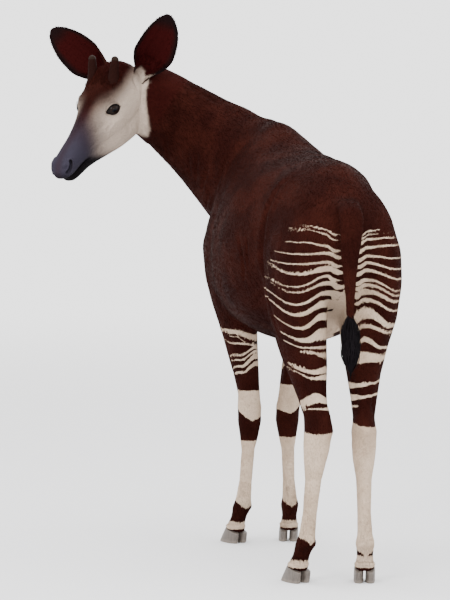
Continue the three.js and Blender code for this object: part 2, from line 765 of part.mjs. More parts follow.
function headForward() {
  return new THREE.Vector3(0, -1, 0).applyEuler(headFrame.rotation);
}

const [headAndNeck, torsoWithLegs] = part(trunk, shoulder.point, shoulder.normal);
const [headPart, neckPart] = part(headAndNeck, throat.point, throat.normal);
const grownTorso = solid(torsoSkin(GAP));
const tail = union([dock(), ...Array.from({ length: LOCK_COUNT }, (_, i) => lock(i))]);

const okapi = new THREE.Group();

function node(name, made, material, parent = okapi) {
  const mesh = new THREE.Mesh(geometryOf(made), material);
  mesh.name = name;
  parent.add(mesh);
}

node("torso", torsoWithLegs, MATERIALS.coat);
node("neck", neckPart, MATERIALS.coat);
okapi.add(headFrame);
const backToHead = headFrame.matrix.clone().invert();
node("head", headPart.transform(backToHead.toArray()), MATERIALS.face, headFrame);
for (const [name, shape] of Object.entries(EARS)) {
  const side = name === "left" ? 1 : -1;
  node(`ear_${name}`, ear(side, shape), MATERIALS.coat, headFrame);
  node(`ossicone_${name}`, ossicone(side), MATERIALS.ossicone, headFrame);
  node(`eye_${name}`, eyeball(side, EYE_RADIUS), MATERIALS.eye, headFrame);
}
for (const leg of LEGS) {
  const { point, normal } = legPlane(leg);
  const below = part(solid(legSkin(leg)), point, normal)[1].subtract(grownTorso);
  const { middle, normal: slope } = coronet(leg);
  node(leg.name, part(below, middle, slope)[0], MATERIALS.leg);
  const foot = leg.name.replace("leg", "hoof");
  node(`${foot}_outer`, claw(leg, 1), MATERIALS.hoof);
  node(`${foot}_inner`, claw(leg, -1), MATERIALS.hoof);
}
node("tail", tail.subtract(grownTorso), MATERIALS.tail);

// The origin is on the ground, under the middle of the whole animal.
okapi.updateMatrixWorld(true);
const box = new THREE.Box3().setFromObject(okapi, true);
const middle = box.getCenter(new THREE.Vector3());
okapi.position.set(-middle.x, -middle.y, -box.min.z);

export default okapi;
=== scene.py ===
# A life-size okapi that stands still and looks back over its left shoulder, in metres.
# The camera stands behind it and a little to its left, as high as its withers.
import json
import math
import bpy
import numpy as np
from mathutils import Matrix, Vector

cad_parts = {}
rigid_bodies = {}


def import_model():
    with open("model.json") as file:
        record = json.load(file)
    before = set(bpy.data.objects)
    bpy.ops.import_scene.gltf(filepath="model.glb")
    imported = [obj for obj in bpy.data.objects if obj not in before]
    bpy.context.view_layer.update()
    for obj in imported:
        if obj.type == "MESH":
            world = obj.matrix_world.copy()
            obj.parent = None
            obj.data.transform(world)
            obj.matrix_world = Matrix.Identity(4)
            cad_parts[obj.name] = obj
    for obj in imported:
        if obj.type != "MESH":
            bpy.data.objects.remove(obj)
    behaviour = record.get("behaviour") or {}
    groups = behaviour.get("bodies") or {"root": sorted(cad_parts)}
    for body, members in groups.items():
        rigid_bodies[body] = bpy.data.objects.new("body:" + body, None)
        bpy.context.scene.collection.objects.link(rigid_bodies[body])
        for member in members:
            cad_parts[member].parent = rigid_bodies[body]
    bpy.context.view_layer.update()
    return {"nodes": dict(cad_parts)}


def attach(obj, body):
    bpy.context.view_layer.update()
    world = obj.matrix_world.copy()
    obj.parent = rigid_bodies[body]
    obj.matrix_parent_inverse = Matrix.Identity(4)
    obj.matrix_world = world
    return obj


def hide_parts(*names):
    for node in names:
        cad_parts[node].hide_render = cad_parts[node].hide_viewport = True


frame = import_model()

camera = bpy.data.objects.new("camera", bpy.data.cameras.new("camera"))
bpy.context.scene.collection.objects.link(camera)
bpy.context.scene.camera = camera
CAMERA_AIM = Vector((0.0179, 0.0737, 0.920))
CAMERA_BACK = Vector((0.21614, 0.97495, 0.05251)).normalized()
CAMERA_AWAY = 9.017
camera.location = CAMERA_AIM + CAMERA_BACK * CAMERA_AWAY
camera.rotation_mode = "QUATERNION"
camera.rotation_quaternion = (-CAMERA_BACK).to_track_quat("-Z", "Y")
camera.data.sensor_width = 36
camera.data.lens = 155.6

# The skin's body: barrel, neck and legs as one hide, made of copies of the frame's own
# nodes, which are run together, smoothed, and shaped over the muscles and folds.
ANIMAL_PLACE = np.array(Vector((-0.250066, 0.074415, 0)))  # the plan's origin in the frame


def place(points):
    """Points of the animal's own plan, in millimetres, as places in the frame."""
    return np.atleast_2d(np.array(points, float)) / 1000 + ANIMAL_PLACE


def plan(places):
    """Places in the frame as points of the plan."""
    return (places - ANIMAL_PLACE) * 1000


def new_piece(name, points, faces):
    mesh = bpy.data.meshes.new(name)
    mesh.from_pydata([tuple(p) for p in points], [], faces)
    piece = bpy.data.objects.new(name, mesh)
    bpy.context.scene.collection.objects.link(piece)
    return piece


def work_on(piece):
    bpy.ops.object.select_all(action="DESELECT")
    piece.select_set(True)
    bpy.context.view_layer.objects.active = piece


def edit(piece, change, selected="SELECT", **settings):
    """Changes the whole mesh of a piece with one of the edit mode's tools."""
    work_on(piece)
    bpy.ops.object.mode_set(mode="EDIT")
    bpy.ops.mesh.select_all(action=selected)
    change(**settings)
    bpy.ops.object.mode_set(mode="OBJECT")


def copy_of(node):
    piece = bpy.data.objects.new("copy_" + node, frame["nodes"][node].data.copy())
    bpy.context.scene.collection.objects.link(piece)
    piece.data.materials.clear()
    edit(piece, bpy.ops.mesh.remove_doubles, threshold=0.00002)
    return piece


def join(pieces, name):
    """Makes one piece of all, in the place of the first."""
    bpy.ops.object.select_all(action="DESELECT")
    for piece in pieces:
        piece.select_set(True)
    bpy.context.view_layer.objects.active = pieces[0]
    bpy.ops.object.join()
    pieces[0].name = pieces[0].data.name = name
    return pieces[0]


def run_together(name, pieces, voxel):
    """One closed skin round all the pieces."""
    joined = join(pieces, name)
    finish_with(joined, "REMESH", mode="VOXEL", voxel_size=voxel, adaptivity=0)
    keep_largest(joined)
    return joined


def finish_with(piece, kind, **settings):
    work_on(piece)
    modifier = piece.modifiers.new(kind.lower(), kind)
    for key, value in settings.items():
        setattr(modifier, key, value)
    bpy.ops.object.modifier_apply(modifier=modifier.name)


def keep_largest(piece):
    """Drops what is sealed inside, so that only the outer surface is left."""
    edit(piece, bpy.ops.mesh.select_mode, "DESELECT", type="VERT")
    piece.data.vertices[int(points_of(piece)[:, 2].argmax())].select = True
    bpy.ops.object.mode_set(mode="EDIT")
    bpy.ops.mesh.select_linked()
    bpy.ops.mesh.select_all(action="INVERT")
    bpy.ops.mesh.delete(type="VERT")
    bpy.ops.object.mode_set(mode="OBJECT")


def points_of(piece):
    found = np.empty(len(piece.data.vertices) * 3, np.float32)
    piece.data.vertices.foreach_get("co", found)
    return found.reshape(-1, 3).astype(float)


def normals_of(piece):
    found = np.empty(len(piece.data.vertices) * 3, np.float32)
    piece.data.vertices.foreach_get("normal", found)
    return found.reshape(-1, 3).astype(float)


def move_to(piece, points):
    piece.data.vertices.foreach_set("co", points.astype(np.float32).ravel())
    piece.data.update()


def lift(piece, rise):
    """Moves each point along its normal, by so many millimetres."""
    move_to(piece, points_of(piece) + normals_of(piece) * (rise / 1000)[:, None])


def smooth_where(piece, share, passes):
    """Evens the surface out, as far as each point's share says."""
    group = piece.vertex_groups.new(name="even")
    steps = np.round(np.clip(share, 0, 1) * 10).astype(int)
    for level in range(1, 11):
        group.add(np.nonzero(steps == level)[0].tolist(), level / 10, "REPLACE")
    finish_with(piece, "SMOOTH", factor=0.5, iterations=passes, vertex_group="even")
    piece.vertex_groups.clear()


def rows_between(rows, per_gap):
    """The rows with smooth ones between them. The first number of a row is its place."""
    rows = np.array(rows, float)
    width, rise = np.diff(rows[:, :1], axis=0), np.diff(rows, axis=0)
    steps = rise / width
    before, after = np.vstack([steps[:1], steps]), np.vstack([steps, steps[-1:]])
    alike = before * after > 0
    slopes = np.where(alike, 2 * before * after / np.where(alike, before + after, 1), 0)
    found = []
    for t in np.arange(per_gap) / per_gap:
        bend = slopes[:-1] * t * (1 - t) ** 2 - slopes[1:] * t * t * (1 - t)
        found.append(rows[:-1] + rise * t * t * (3 - 2 * t) + bend * width)
    filled = np.stack(found, axis=1).reshape(-1, rows.shape[1])
    filled[:, 0] = (rows[:-1, :1] + width * np.arange(per_gap) / per_gap).ravel()
    return np.vstack([filled, rows[-1:]])


def oval(half, up, down, square_up=2.0, square_down=2.0, sides=96):
    """A ring of points as pairs, across and above, half an ellipse over half another."""
    angle = np.arange(sides) / sides * 2 * np.pi
    above = np.sin(angle) >= 0
    square = 2 / np.where(above, square_up, square_down)
    across = half * np.sign(np.cos(angle)) * np.abs(np.cos(angle)) ** square
    high = np.where(above, up, down) * np.sign(np.sin(angle)) * np.abs(np.sin(angle)) ** square
    return across, high


def loft(name, rings):
    """A closed skin over a line of rings with as many points each."""
    rings = np.array(rings, float)
    count, sides = rings.shape[:2]
    points = np.vstack([rings.reshape(-1, 3), rings[0].mean(0), rings[-1].mean(0)])
    faces = []
    for row in range(count - 1):
        first = row * sides
        for i in range(sides):
            j = (i + 1) % sides
            faces.append((first + i, first + j, first + sides + j, first + sides + i))
    start, end, top = count * sides, count * sides + 1, (count - 1) * sides
    for i in range(sides):
        j = (i + 1) % sides
        faces += [(start, j, i), (end, top + i, top + j)]
    piece = new_piece(name, points, faces)
    edit(piece, bpy.ops.mesh.normals_make_consistent, inside=False)
    return piece


TAIL_LINE = [(0, 596, 1262), (0, 662, 1248), (6, 706, 1184), (14, 717, 1072), (10, 712, 832)]
DOCK_ROWS = [(0, 46, 25), (0.16, 46, 25), (0.32, 42, 21), (0.5, 33, 17), (0.7, 22, 13.5), (1, 13, 11)]


def line_through(corners, count):
    """Evenly spaced places along a smooth line through the corners, and its direction there."""
    corners = np.array(corners, float)
    whole = np.vstack([2 * corners[0] - corners[1], corners, 2 * corners[-1] - corners[-2]])
    found = []
    for a, b, c, d in zip(whole, whole[1:], whole[2:], whole[3:]):
        for t in np.linspace(0, 1, 24, endpoint=False):
            found.append(0.5 * (2 * b + (c - a) * t + (2 * a - 5 * b + 4 * c - d) * t * t
                                + (3 * b - a - 3 * c + d) * t ** 3))
    found = np.vstack([found, corners[-1]])
    along = np.concatenate([[0], np.cumsum(np.linalg.norm(np.diff(found, axis=0), axis=1))])
    wanted = np.linspace(0, along[-1], count)
    places = np.stack([np.interp(wanted, along, found[:, k]) for k in range(3)], axis=1)
    way = np.gradient(places, axis=0)
    return places, way / np.linalg.norm(way, axis=1)[:, None]


def make_dock():
    """The fleshy root of the tail, round its middle line."""
    middles, ways = line_through(TAIL_LINE, 81)
    left = np.array([1.0, 0, 0])
    rings = []
    for at, half, deep in rows_between(DOCK_ROWS, 8):
        k = int(round(at * 80))
        across, high = oval(half, deep, deep, sides=28)
        rings.append(place(middles[k] + across[:, None] * left + high[:, None] * np.cross(left, ways[k])))
    return loft("dock", rings)


BODY_NODES = ["torso", "neck", "foreleg_left", "foreleg_right", "hindleg_left", "hindleg_right"]
BODY_VOXEL = 0.006
COAT_DEPTH = 2.8  # millimetres that the hide lies inside the frame, which the hair reaches
body = run_together("body", [copy_of(node) for node in BODY_NODES] + [make_dock()], BODY_VOXEL)
spots = points_of(body) - ANIMAL_PLACE
barrel = np.clip((spots[:, 2] - 0.62) / 0.25, 0, 1)
before_tail = np.where(spots[:, 1] > 0.69, 0, barrel)
withers = np.exp(-(((spots - (0.012, -0.4, 1.535)) / (0.1, 0.13, 0.08)) ** 2).sum(1))
smooth_where(body, 0.35 + 0.65 * barrel, 12)
smooth_where(body, before_tail, 60)
smooth_where(body, withers, 80)

# The head: a long narrow skull and jaw under thin skin, in its own plan, whose origin is the
# back of the skull, with the nose towards -Y. Lids, lips and nostrils are shaped into the hide.
NECK_LINE = [np.array(p, float) for p in
             [(0, -325, 1262), (6, -595, 1388), (261.5, -721.3, 1620.2), (452, -750, 1694)]]
HEAD_TURN = Matrix.Rotation(math.radians(127), 4, "Z") @ Matrix.Rotation(math.radians(39), 4, "X") \
    @ Matrix.Rotation(math.radians(4), 4, "Y")
HEAD_AXES = np.array(HEAD_TURN.to_3x3())
HEAD_SIZE = 1.05
SKULL_ROWS = [
    (-22, 14, 26, 44, -16, 2, 2), (-4, 14, 58, 90, -48, 2, 2), (40, 12, 76, 127, -74, 2.1, 2.1),
    (95, 16, 81, 133, -84, 2.3, 2.1), (145, 24, 88, 119, -78, 2.5, 2.2),
    (190, 28, 91, 106, -68, 2.5, 2.3), (235, 16, 75, 92, -58, 2.2, 2.5),
    (300, 4, 55, 71, -48, 2.1, 2.8), (370, -2, 44, 53, -42, 2.1, 3), (425, -4, 43, 41, -38, 2.2, 3),
    (466, -8, 45, 27, -37, 2.3, 2.8), (490, -12, 37, 11, -35, 2.3, 2.5),
    (502, -16, 20, -3, -29, 2.2, 2.2)]
JAW_ROWS = [
    (28, -44, 36, -5, -90, 2, 2.1), (58, -54, 58, 5, -128, 2, 2.1), (112, -54, 68, 8, -144, 2, 2.1),
    (190, -48, 63, 6, -134, 2.2, 2.1), (280, -44, 46, -8, -110, 2.6, 2.1),
    (370, -47, 35, -26, -84, 3, 2.1), (430, -51, 33, -32, -75, 3, 2.1),
    (462, -51, 29, -33, -69, 3, 2.2), (478, -49, 16, -38, -60, 2.4, 2.2)]
EYE_PLACE = np.array([62.0, -203.0, 44.0])
EYE_RADIUS = 27.0
EAR_ROWS = [(0, 22, 34), (0.14, 26, 42), (0.24, 36, 50), (0.38, 58, 52), (0.54, 72, 43),
            (0.7, 67, 32), (0.84, 53, 21), (0.93, 35, 11), (0.98, 17, 4), (1, 4, 1.5)]
EAR_LINES = {"left": [(56, -40, 40), (138, -6, 86), (196, 108, 232)],
             "right": [(-56, -40, 40), (-158, -10, 84), (-274, 16, 222)]}
EAR_FACING = {"left": np.array((0.66, -0.62, 0.2)), "right": np.array((0.25, -0.8, 0.5))}
HEAD_VOXEL = 0.0022


def from_head(points):
    """Places in the head's plan, in millimetres, as places in the frame."""
    return place(HEAD_SIZE * np.atleast_2d(points) @ HEAD_AXES.T + NECK_LINE[3])


def to_head(points):
    return (plan(points) - NECK_LINE[3]) @ HEAD_AXES / HEAD_SIZE


def head_loft(name, rows):
    rings = []
    for at, middle, half, top, low, roof, floor in rows_between(rows, 8):
        across, high = oval(half, top - middle, middle - low, roof, floor)
        rings.append(from_head(np.stack([across, np.full(96, -at), middle + high], axis=1)))
    return loft(name, rings)


def curve_at(corners, t):
    """A place on the curve that three or four corners draw, and its direction."""
    a = np.array(corners, float)
    while len(a) > 1:
        way = a[1] - a[0]
        a = a[:-1] + (a[1:] - a[:-1]) * t
    return a[0], way / np.linalg.norm(way)


def cup(half, deep, thick, count=48):
    """A row across an ear, from rim to rim: places across it and out of it."""
    radius = (half ** 2 + deep ** 2) / (2 * deep)
    reach = math.acos(max(-1, min(1, 1 - deep / radius)))
    share = np.linspace(-1, 1, count + 1)
    thin = np.minimum(thick, radius * 0.6) * np.cos(share * np.pi / 2.4)
    r = radius - thin
    return r * np.sin(reach * share), radius - deep - r * np.cos(reach * share)


def ear_frame(side, t):
    """The middle of an ear so far up, and the ways across it and out of its cup."""
    middle, up = curve_at(EAR_LINES[side], t)
    out = EAR_FACING[side] - np.dot(EAR_FACING[side], up) * up
    out /= np.linalg.norm(out)
    return middle + out * 22 * t * t, np.cross(up, out), out


EAR_LEAF_ROWS = rows_between(EAR_ROWS, 9)
EAR_ACROSS = np.linspace(-1, 1, 49)


def make_ear(side):
    """The leaf of an ear, whose inside carries three low ridges of gristle."""
    rings = []
    share = EAR_ACROSS
    for at, half, deep in EAR_LEAF_ROWS:
        middle, across, out = ear_frame(side, at)
        ridges = sum(np.exp(-((share - c - 0.1 * at) / 0.09) ** 2) for c in (-0.42, 0.02, 0.4))
        fade = np.clip(at * 5 - 0.5, 0, 1) * np.clip((0.9 - at) * 4, 0, 1)
        hem = 1.4 * np.exp(-((np.abs(share) - 0.93) / 0.06) ** 2) * np.clip(at * 6, 0, 1)
        x0, y0 = cup(half, deep, 0)
        x1, y1 = cup(half, deep, 4.2 + 2.2 * ridges * fade + hem)
        x, y = np.concatenate([x0, x1[::-1]]), np.concatenate([y0, y1[::-1]])
        rings.append(from_head(middle + x[:, None] * across + y[:, None] * out))
    return loft("ear_" + side, rings)


def make_ear_root(side):
    """The fleshy base that the leaf stands in."""
    rings = []
    for at, half, deep in rows_between(EAR_ROWS[:4], 5)[:13]:
        middle, across, out = ear_frame(side, at)
        x, y = cup(half * (1.0 - 0.12 * at), deep, 0, 30)
        chord = np.linspace(x[-1], x[0], 12)[1:-1]
        x = np.concatenate([x, chord])
        y = np.concatenate([y, np.full(10, -deep * (0.25 + 2.6 * at))])
        rings.append(from_head(middle + x[:, None] * across + y[:, None] * out))
    return loft("ear_root_" + side, rings)


def ball(name, radius, middle):
    bpy.ops.mesh.primitive_uv_sphere_add(segments=48, ring_count=32, radius=radius, location=middle)
    piece = bpy.context.view_layer.objects.active
    piece.name = piece.data.name = name
    bpy.ops.object.transform_apply(location=True, rotation=True, scale=True)
    return piece


def cut_off(piece, where, way, close=False):
    """Takes away what lies on the way's side of a plane."""
    edit(piece, bpy.ops.mesh.bisect, plane_co=where, plane_no=way, clear_outer=True, use_fill=close)


neck_copy = copy_of("neck")
where, way = curve_at(NECK_LINE, 0.62)
cut_off(neck_copy, place(where)[0], -way, close=True)
lids = [ball("lid_ball", (EYE_RADIUS + 3.4) * HEAD_SIZE / 1000,
             from_head(EYE_PLACE * (s, 1, 1))[0]) for s in (1, -1)]
head_parts = [copy_of("head"), neck_copy, head_loft("skull", SKULL_ROWS),
              head_loft("jaw", JAW_ROWS), make_ear_root("left"), make_ear_root("right")]
head = run_together("head_hide", head_parts + lids, HEAD_VOXEL)
smooth_where(head, np.ones(len(head.data.vertices)), 14)

# Muscle, bone and folds are pressed into the hide along its own normals, in millimetres.


def off_line(spots, line):
    """How far each spot is from a smooth line through the corners, and how far along it."""
    line = line_through(line, 16)[0] if len(line) > 2 else np.array(line, float)
    away, share = np.full(len(spots), 1e9), np.zeros(len(spots))
    for k, (a, b) in enumerate(zip(line, line[1:])):
        t = np.clip(((spots - a) @ (b - a)) / ((b - a) @ (b - a)), 0, 1)
        gap = np.linalg.norm(spots - a - t[:, None] * (b - a), axis=1)
        nearer = gap < away
        away, share = np.where(nearer, gap, away), np.where(nearer, k + t, share)
    return away, share / (len(line) - 1)


def groove(spots, line, width, depth):
    away, share = off_line(spots, line)
    return -depth * np.exp(-(away / width) ** 2) * np.clip(6 * share * (1 - share), 0, 1)


def fold(spots, line, width, depth):
    """A narrow crease with a soft roll of skin on both sides."""
    away, share = off_line(spots, line)
    fade = np.clip(6 * share * (1 - share), 0, 1)
    return depth * fade * (0.45 * np.exp(-((away - 2 * width) / (1.2 * width)) ** 2)
                           - np.exp(-(away / width) ** 2))


def swell(spots, middle, reach, height):
    return height * np.exp(-(((spots - np.array(middle)) / np.array(reach)) ** 2).sum(1))


FORE_LINE = np.array([(20, 106, -502), (98, 98, -466), (172, 89, -443), (345, 76, -443),
                      (500, 73, -450), (630, 90, -440), (800, 126, -418), (980, 156, -408)], float)
HIND_LINE = np.array([(20, 108, 478), (98, 100, 514), (172, 91, 540), (350, 81, 555),
                      (515, 77, 566), (620, 84, 535), (700, 93, 498), (790, 106, 462),
                      (890, 121, 448), (1000, 129, 446), (1280, 84, 425)], float)
# side, line, pivot, turned, straight, ahead, out, toes
LEGS = {"foreleg_left": (1, FORE_LINE, 900, 140, 520, -12, 22, 24),
        "foreleg_right": (-1, FORE_LINE, 900, 140, 520, -8, -26, 12),
        "hindleg_left": (1, HIND_LINE, 950, 480, 900, 34, 18, 22),
        "hindleg_right": (-1, HIND_LINE, 950, 480, 900, -14, -10, 14)}


def in_leg(spots, leg):
    """Spots in a leg's own plan: outwards and back from its middle, and up."""
    side, line, pivot, turned, straight, ahead, out, toes = LEGS[leg]
    z = spots[:, 2]
    lean = np.maximum(0, 1 - z / pivot)
    x = spots[:, 0] * side - np.interp(z, line[:, 0], line[:, 1]) - out * lean ** 2
    y = spots[:, 1] - np.interp(z, line[:, 0], line[:, 2]) + ahead * lean
    t = np.clip((straight - z) / (straight - turned), 0, 1)
    turn = np.radians(toes) * t * t * (3 - 2 * t)
    return np.stack([x * np.cos(turn) + y * np.sin(turn), y * np.cos(turn) - x * np.sin(turn), z], 1)


def leg_mask(spots, leg):
    side, line = LEGS[leg][:2]
    return ((spots[:, 0] * side > 0) & ((spots[:, 1] < 0) == (line is FORE_LINE))
            & (spots[:, 2] < 1290))


def shaped(spots, forms):
    """How far all the forms lift each spot. A form is its kind, and what that kind asks for."""
    rise = np.zeros(len(spots))
    for kind, *values in forms:
        rise += kind(spots, *values)
    return rise


def on_both_sides(spots, forms):
    return shaped(spots, forms) + shaped(spots * (-1, 1, 1), forms)


BACK_FORMS = [
    (swell, (8, -405, 1535), (70, 100, 70), 28), (swell, (62, -560, 1585), (60, 80, 60), 9),
    (swell, (-60, 330, 1385), (110, 160, 60), 10), (swell, (-88, -240, 1480), (45, 60, 60), -6),
    (swell, (-80, 90, 1415), (60, 150, 50), 10), (swell, (-155, 525, 1240), (60, 80, 90), 9),
    (groove, [(0, 250, 1412), (0, 400, 1400), (0, 560, 1330), (0, 640, 1240)], 24, 5),
    (groove, [(0, -662, 1230), (0, -650, 1100), (0, -560, 930)], 24, 9)]
SHOULDER_FORMS = [
    (groove, [(222, -240, 1390), (286, -216, 1180), (288, -226, 1010), (250, -262, 860)], 46, 9),
    (swell, (268, -345, 1090), (70, 100, 130), 9), (swell, (240, -470, 1180), (60, 70, 110), 6),
    (groove, [(120, -330, 1500), (190, -420, 1370), (238, -500, 1200)], 26, 5),
    (fold, [(260, -250, 900), (240, -225, 850), (200, -200, 810)], 9, 4),
    (swell, (60, -600, 1110), (46, 60, 90), 8)]
RIB_FORMS = [
    (groove, [(262, -120 + back, 1280), (292, -128 + back, 1130), (270, -150 + back, 900)], 20, 0.8)
    for back in range(0, 310, 62)]
FLANK_FORMS = [
    (swell, (150, 330, 1345), (70, 60, 60), 9), (swell, (215, 205, 1265), (90, 85, 80), -10),
    (fold, [(120, 370, 1345), (170, 340, 1300), (205, 340, 1235), (220, 355, 1145), (220, 350, 1050),
            (220, 400, 975), (215, 465, 890), (190, 485, 825)], 13, 6),
    (fold, [(265, 185, 1160), (265, 220, 1100), (255, 230, 1040), (250, 205, 980)], 9, 3.5),
    (fold, [(255, 250, 1165), (250, 260, 1100), (250, 260, 1040)], 7, 2.5),
    (fold, [(235, 80, 880), (215, 150, 900), (205, 250, 930), (200, 330, 960)], 9, 4),
    (fold, [(235, 180, 930), (220, 240, 960), (210, 310, 1000)], 8, 3),
    (groove, [(100, 640, 1180), (120, 632, 1050), (100, 610, 900), (88, 575, 760)], 20, 6),
    (groove, [(196, 470, 1130), (205, 520, 1010), (186, 540, 880)], 26, 5)]
NECK_FORMS = [
    (fold, [(360, -635, 1500), (350, -645, 1455), (335, -670, 1400)], 8, 3.2),
    (fold, [(280, -570, 1455), (280, -575, 1400), (270, -585, 1345)], 7, 2.6),
    (fold, [(255, -535, 1445), (260, -540, 1385), (255, -555, 1330)], 9, 4),
    (fold, [(225, -475, 1385), (235, -505, 1335), (240, -535, 1290)], 10, 5),
    (fold, [(175, -395, 1420), (200, -400, 1360), (210, -440, 1305)], 11, 5),
    (fold, [(150, -360, 1425), (180, -350, 1370), (215, -315, 1315)], 8, 3),
    (fold, [(220, -480, 1290), (225, -505, 1265), (220, -545, 1235)], 9, 5),
    (fold, [(265, -640, 1685), (215, -605, 1650), (160, -565, 1615)], 10, 3)]
LEG_SIDES = [(groove, [(24, 14, 400), (22, 12, 300), (22, 12, 190)], 8, 3),
             (swell, (20, 36, 138), (12, 14, 16), 3.5), (swell, (30, -6, 140), (12, 16, 14), 2)]
FORELEG_SIDES = LEG_SIDES + [
    (swell, (17, -44, 474), (14, 16, 16), 3.5), (swell, (36, 0, 505), (12, 22, 18), 3),
    (groove, [(56, 6, 780), (44, 4, 680), (38, 2, 560)], 12, 4.5)]
HINDLEG_SIDES = LEG_SIDES + [
    (groove, [(42, 42, 720), (31, 40, 650), (27, 42, 565)], 15, 9),
    (swell, (40, -4, 512), (12, 22, 20), 4), (swell, (28, 30, 448), (14, 20, 20), 2)]
FOOT_FORMS = [(groove, [(0, -40, 104), (0, -44, 78), (0, -46, 48)], 9, 5),
              (groove, [(0, 44, 150), (0, 42, 100), (0, 44, 50)], 9, 5)]
FORELEG_FORMS = FOOT_FORMS + [
    (swell, (14, 46, 486), (14, 14, 18), 5), (swell, (34, -40, 700), (30, 40, 80), 5),
    (groove, [(-30, -44, 436), (0, -50, 432), (30, -44, 436)], 8, 2.5),
    (swell, (20, 96, 800), (30, 30, 40), 6)]
HINDLEG_FORMS = FOOT_FORMS + [
    (swell, (0, 78, 532), (20, 20, 26), 4), (swell, (30, -60, 760), (40, 60, 80), 5),
    (groove, [(-24, -46, 545), (0, -52, 552), (24, -46, 545)], 12, 3)]
CLAW_TOP, CLAW_LIFT = 66, 1.2  # the hide laps over the claws below this height, by so much

spots = plan(points_of(body))
rise = shaped(spots, BACK_FORMS + NECK_FORMS)
rise += on_both_sides(spots, SHOULDER_FORMS + RIB_FORMS + FLANK_FORMS)
for leg in LEGS:
    fore = leg.startswith("fore")
    m = in_leg(spots, leg)
    shape = on_both_sides(m, FORELEG_SIDES if fore else HINDLEG_SIDES)
    shape += shaped(m, FORELEG_FORMS if fore else HINDLEG_FORMS)
    rise += np.where(leg_mask(spots, leg), shape, 0)
rise = np.where(spots[:, 2] < CLAW_TOP, CLAW_LIFT, rise - COAT_DEPTH)
lift(body, rise)


def choose(piece, near):
    """Selects the faces all of whose points are near."""
    chosen = np.zeros(len(piece.data.vertices), bool)
    chosen[near] = True
    corners = np.empty(len(piece.data.loops), np.int32)
    piece.data.loops.foreach_get("vertex_index", corners)
    starts = np.empty(len(piece.data.polygons), np.int32)
    piece.data.polygons.foreach_get("loop_start", starts)
    whole = np.logical_and.reduceat(chosen[corners], starts)
    piece.data.polygons.foreach_set("select", whole)
    piece.data.vertices.foreach_set("select", chosen)


def refine(piece, near):
    """Halves the faces near a small form, so that the hide can take its shape."""
    edit(piece, bpy.ops.mesh.select_mode, "DESELECT", type="FACE")
    choose(piece, near)
    bpy.ops.object.mode_set(mode="EDIT")
    bpy.ops.mesh.subdivide(number_cuts=1, smoothness=0)
    bpy.ops.object.mode_set(mode="OBJECT")


MOUTH_LINE = np.array([(360, -49), (374, -42), (395, -37.5), (440, -36.5), (505, -35)], float)


def off_mouth(h):
    """How far a spot of the head is above the line of the mouth, where it has one."""
    return h[:, 2] - np.interp(-h[:, 1], MOUTH_LINE[:, 0], MOUTH_LINE[:, 1])


def eye_axes(s):
    """Along the lids towards the nose, up across them, and out of the head."""
    out = np.array([s * 0.88, -0.42, 0.2])
    out /= np.linalg.norm(out)
    along = np.array([0, -1.0, 0]) + out * out[1]
    along /= np.linalg.norm(along)
    up = np.cross(along, out) * s
    tilt = math.radians(14)
    return along * math.cos(tilt) + up * math.sin(tilt), up * math.cos(tilt) - along * math.sin(tilt), out


def in_eye(h, s):
    axes = np.array(eye_axes(s))
    return (h - EYE_PLACE * (s, 1, 1)) @ axes.T


def from_eye(points, s):
    """Points of an eye's own plan as places in the frame."""
    return from_head(points @ np.array(eye_axes(s)) + EYE_PLACE * (s, 1, 1))


LID_LENGTH, LID_UPPER, LID_LOWER = 27.0, 18.0, 13.5  # half the slit, and the rise of each lid


def lid_height(u):
    """The edges of the upper and the lower lid, above and below the line of the corners."""
    x = np.clip(u / LID_LENGTH, -1, 1)
    arch = np.maximum(1 - x * x, 0)
    return LID_UPPER * arch ** 0.75 * (1 - 0.12 * x), -LID_LOWER * arch ** 0.9 * (1 + 0.1 * x)


NOSTRIL_LINE = [(37, -492, -9), (42, -479, -4), (43, -466, 6), (38, -456, 14)]
for s in (1, -1):
    for reach in (46, 38):
        refine(head, np.linalg.norm(in_eye(to_head(points_of(head)), s), axis=1) < reach)
    refine(head, np.linalg.norm(to_head(points_of(head)) - (s * 40, -474, 2), axis=1) < 30)
spots = to_head(points_of(head))
refine(head, (spots[:, 1] < -350) & (np.abs(off_mouth(spots)) < 9))

MUZZLE_FORMS = [
    (swell, (0, -500, -20), (26, 12, 10), 3), (swell, (0, -452, -70), (22, 26, 12), 2),
    (groove, [(0, -506, -6), (0, -506, -18), (0, -503, -32)], 3.5, 2.5)]
FACE_FORMS = [
    (swell, (66, -190, 80), (26, 34, 16), 4.5), (swell, (80, -232, 6), (22, 44, 14), 3.5),
    (groove, [(84, -176, 10), (74, -228, 22), (60, -272, 22), (46, -330, 20)], 10, 3),
    (groove, [(66, -226, 30), (62, -240, 20), (58, -262, 12)], 5, 2.4),
    (fold, [(54, -209, 87), (65, -195, 87), (70, -177, 88)], 5, 2.5),
    (fold, [(76, -231, 13), (69, -251, 7), (63, -270, 0)], 5, 1.8),
    (fold, [(79, -50, 10), (79, -56, -2), (80, -81, -36)], 6, 2),
    (fold, [(66, -126, -70), (60, -124, -98), (56, -121, -125)], 6, 2),
    (fold, [(70, -50, 72), (76, -62, 45), (78, -64, 19)], 7, 2.5),
    (fold, [(51, -319, -9), (46, -342, -10), (42, -364, -12)], 5, 1.5),
    (fold, [(40, -318, -30), (40, -324, -44), (38, -330, -60)], 5, 1.6),
    (swell, (74, -110, -50), (24, 60, 46), 5),
    (groove, [(74, -60, -90), (72, -150, -118), (60, -230, -104)], 10, 2.5),
    (groove, [(62, -178, -20), (64, -168, -60), (60, -180, -96)], 12, 3),
    (swell, (30, -470, 20), (14, 20, 10), 2.5)]
FACE_COAT_DEPTH = 1.6


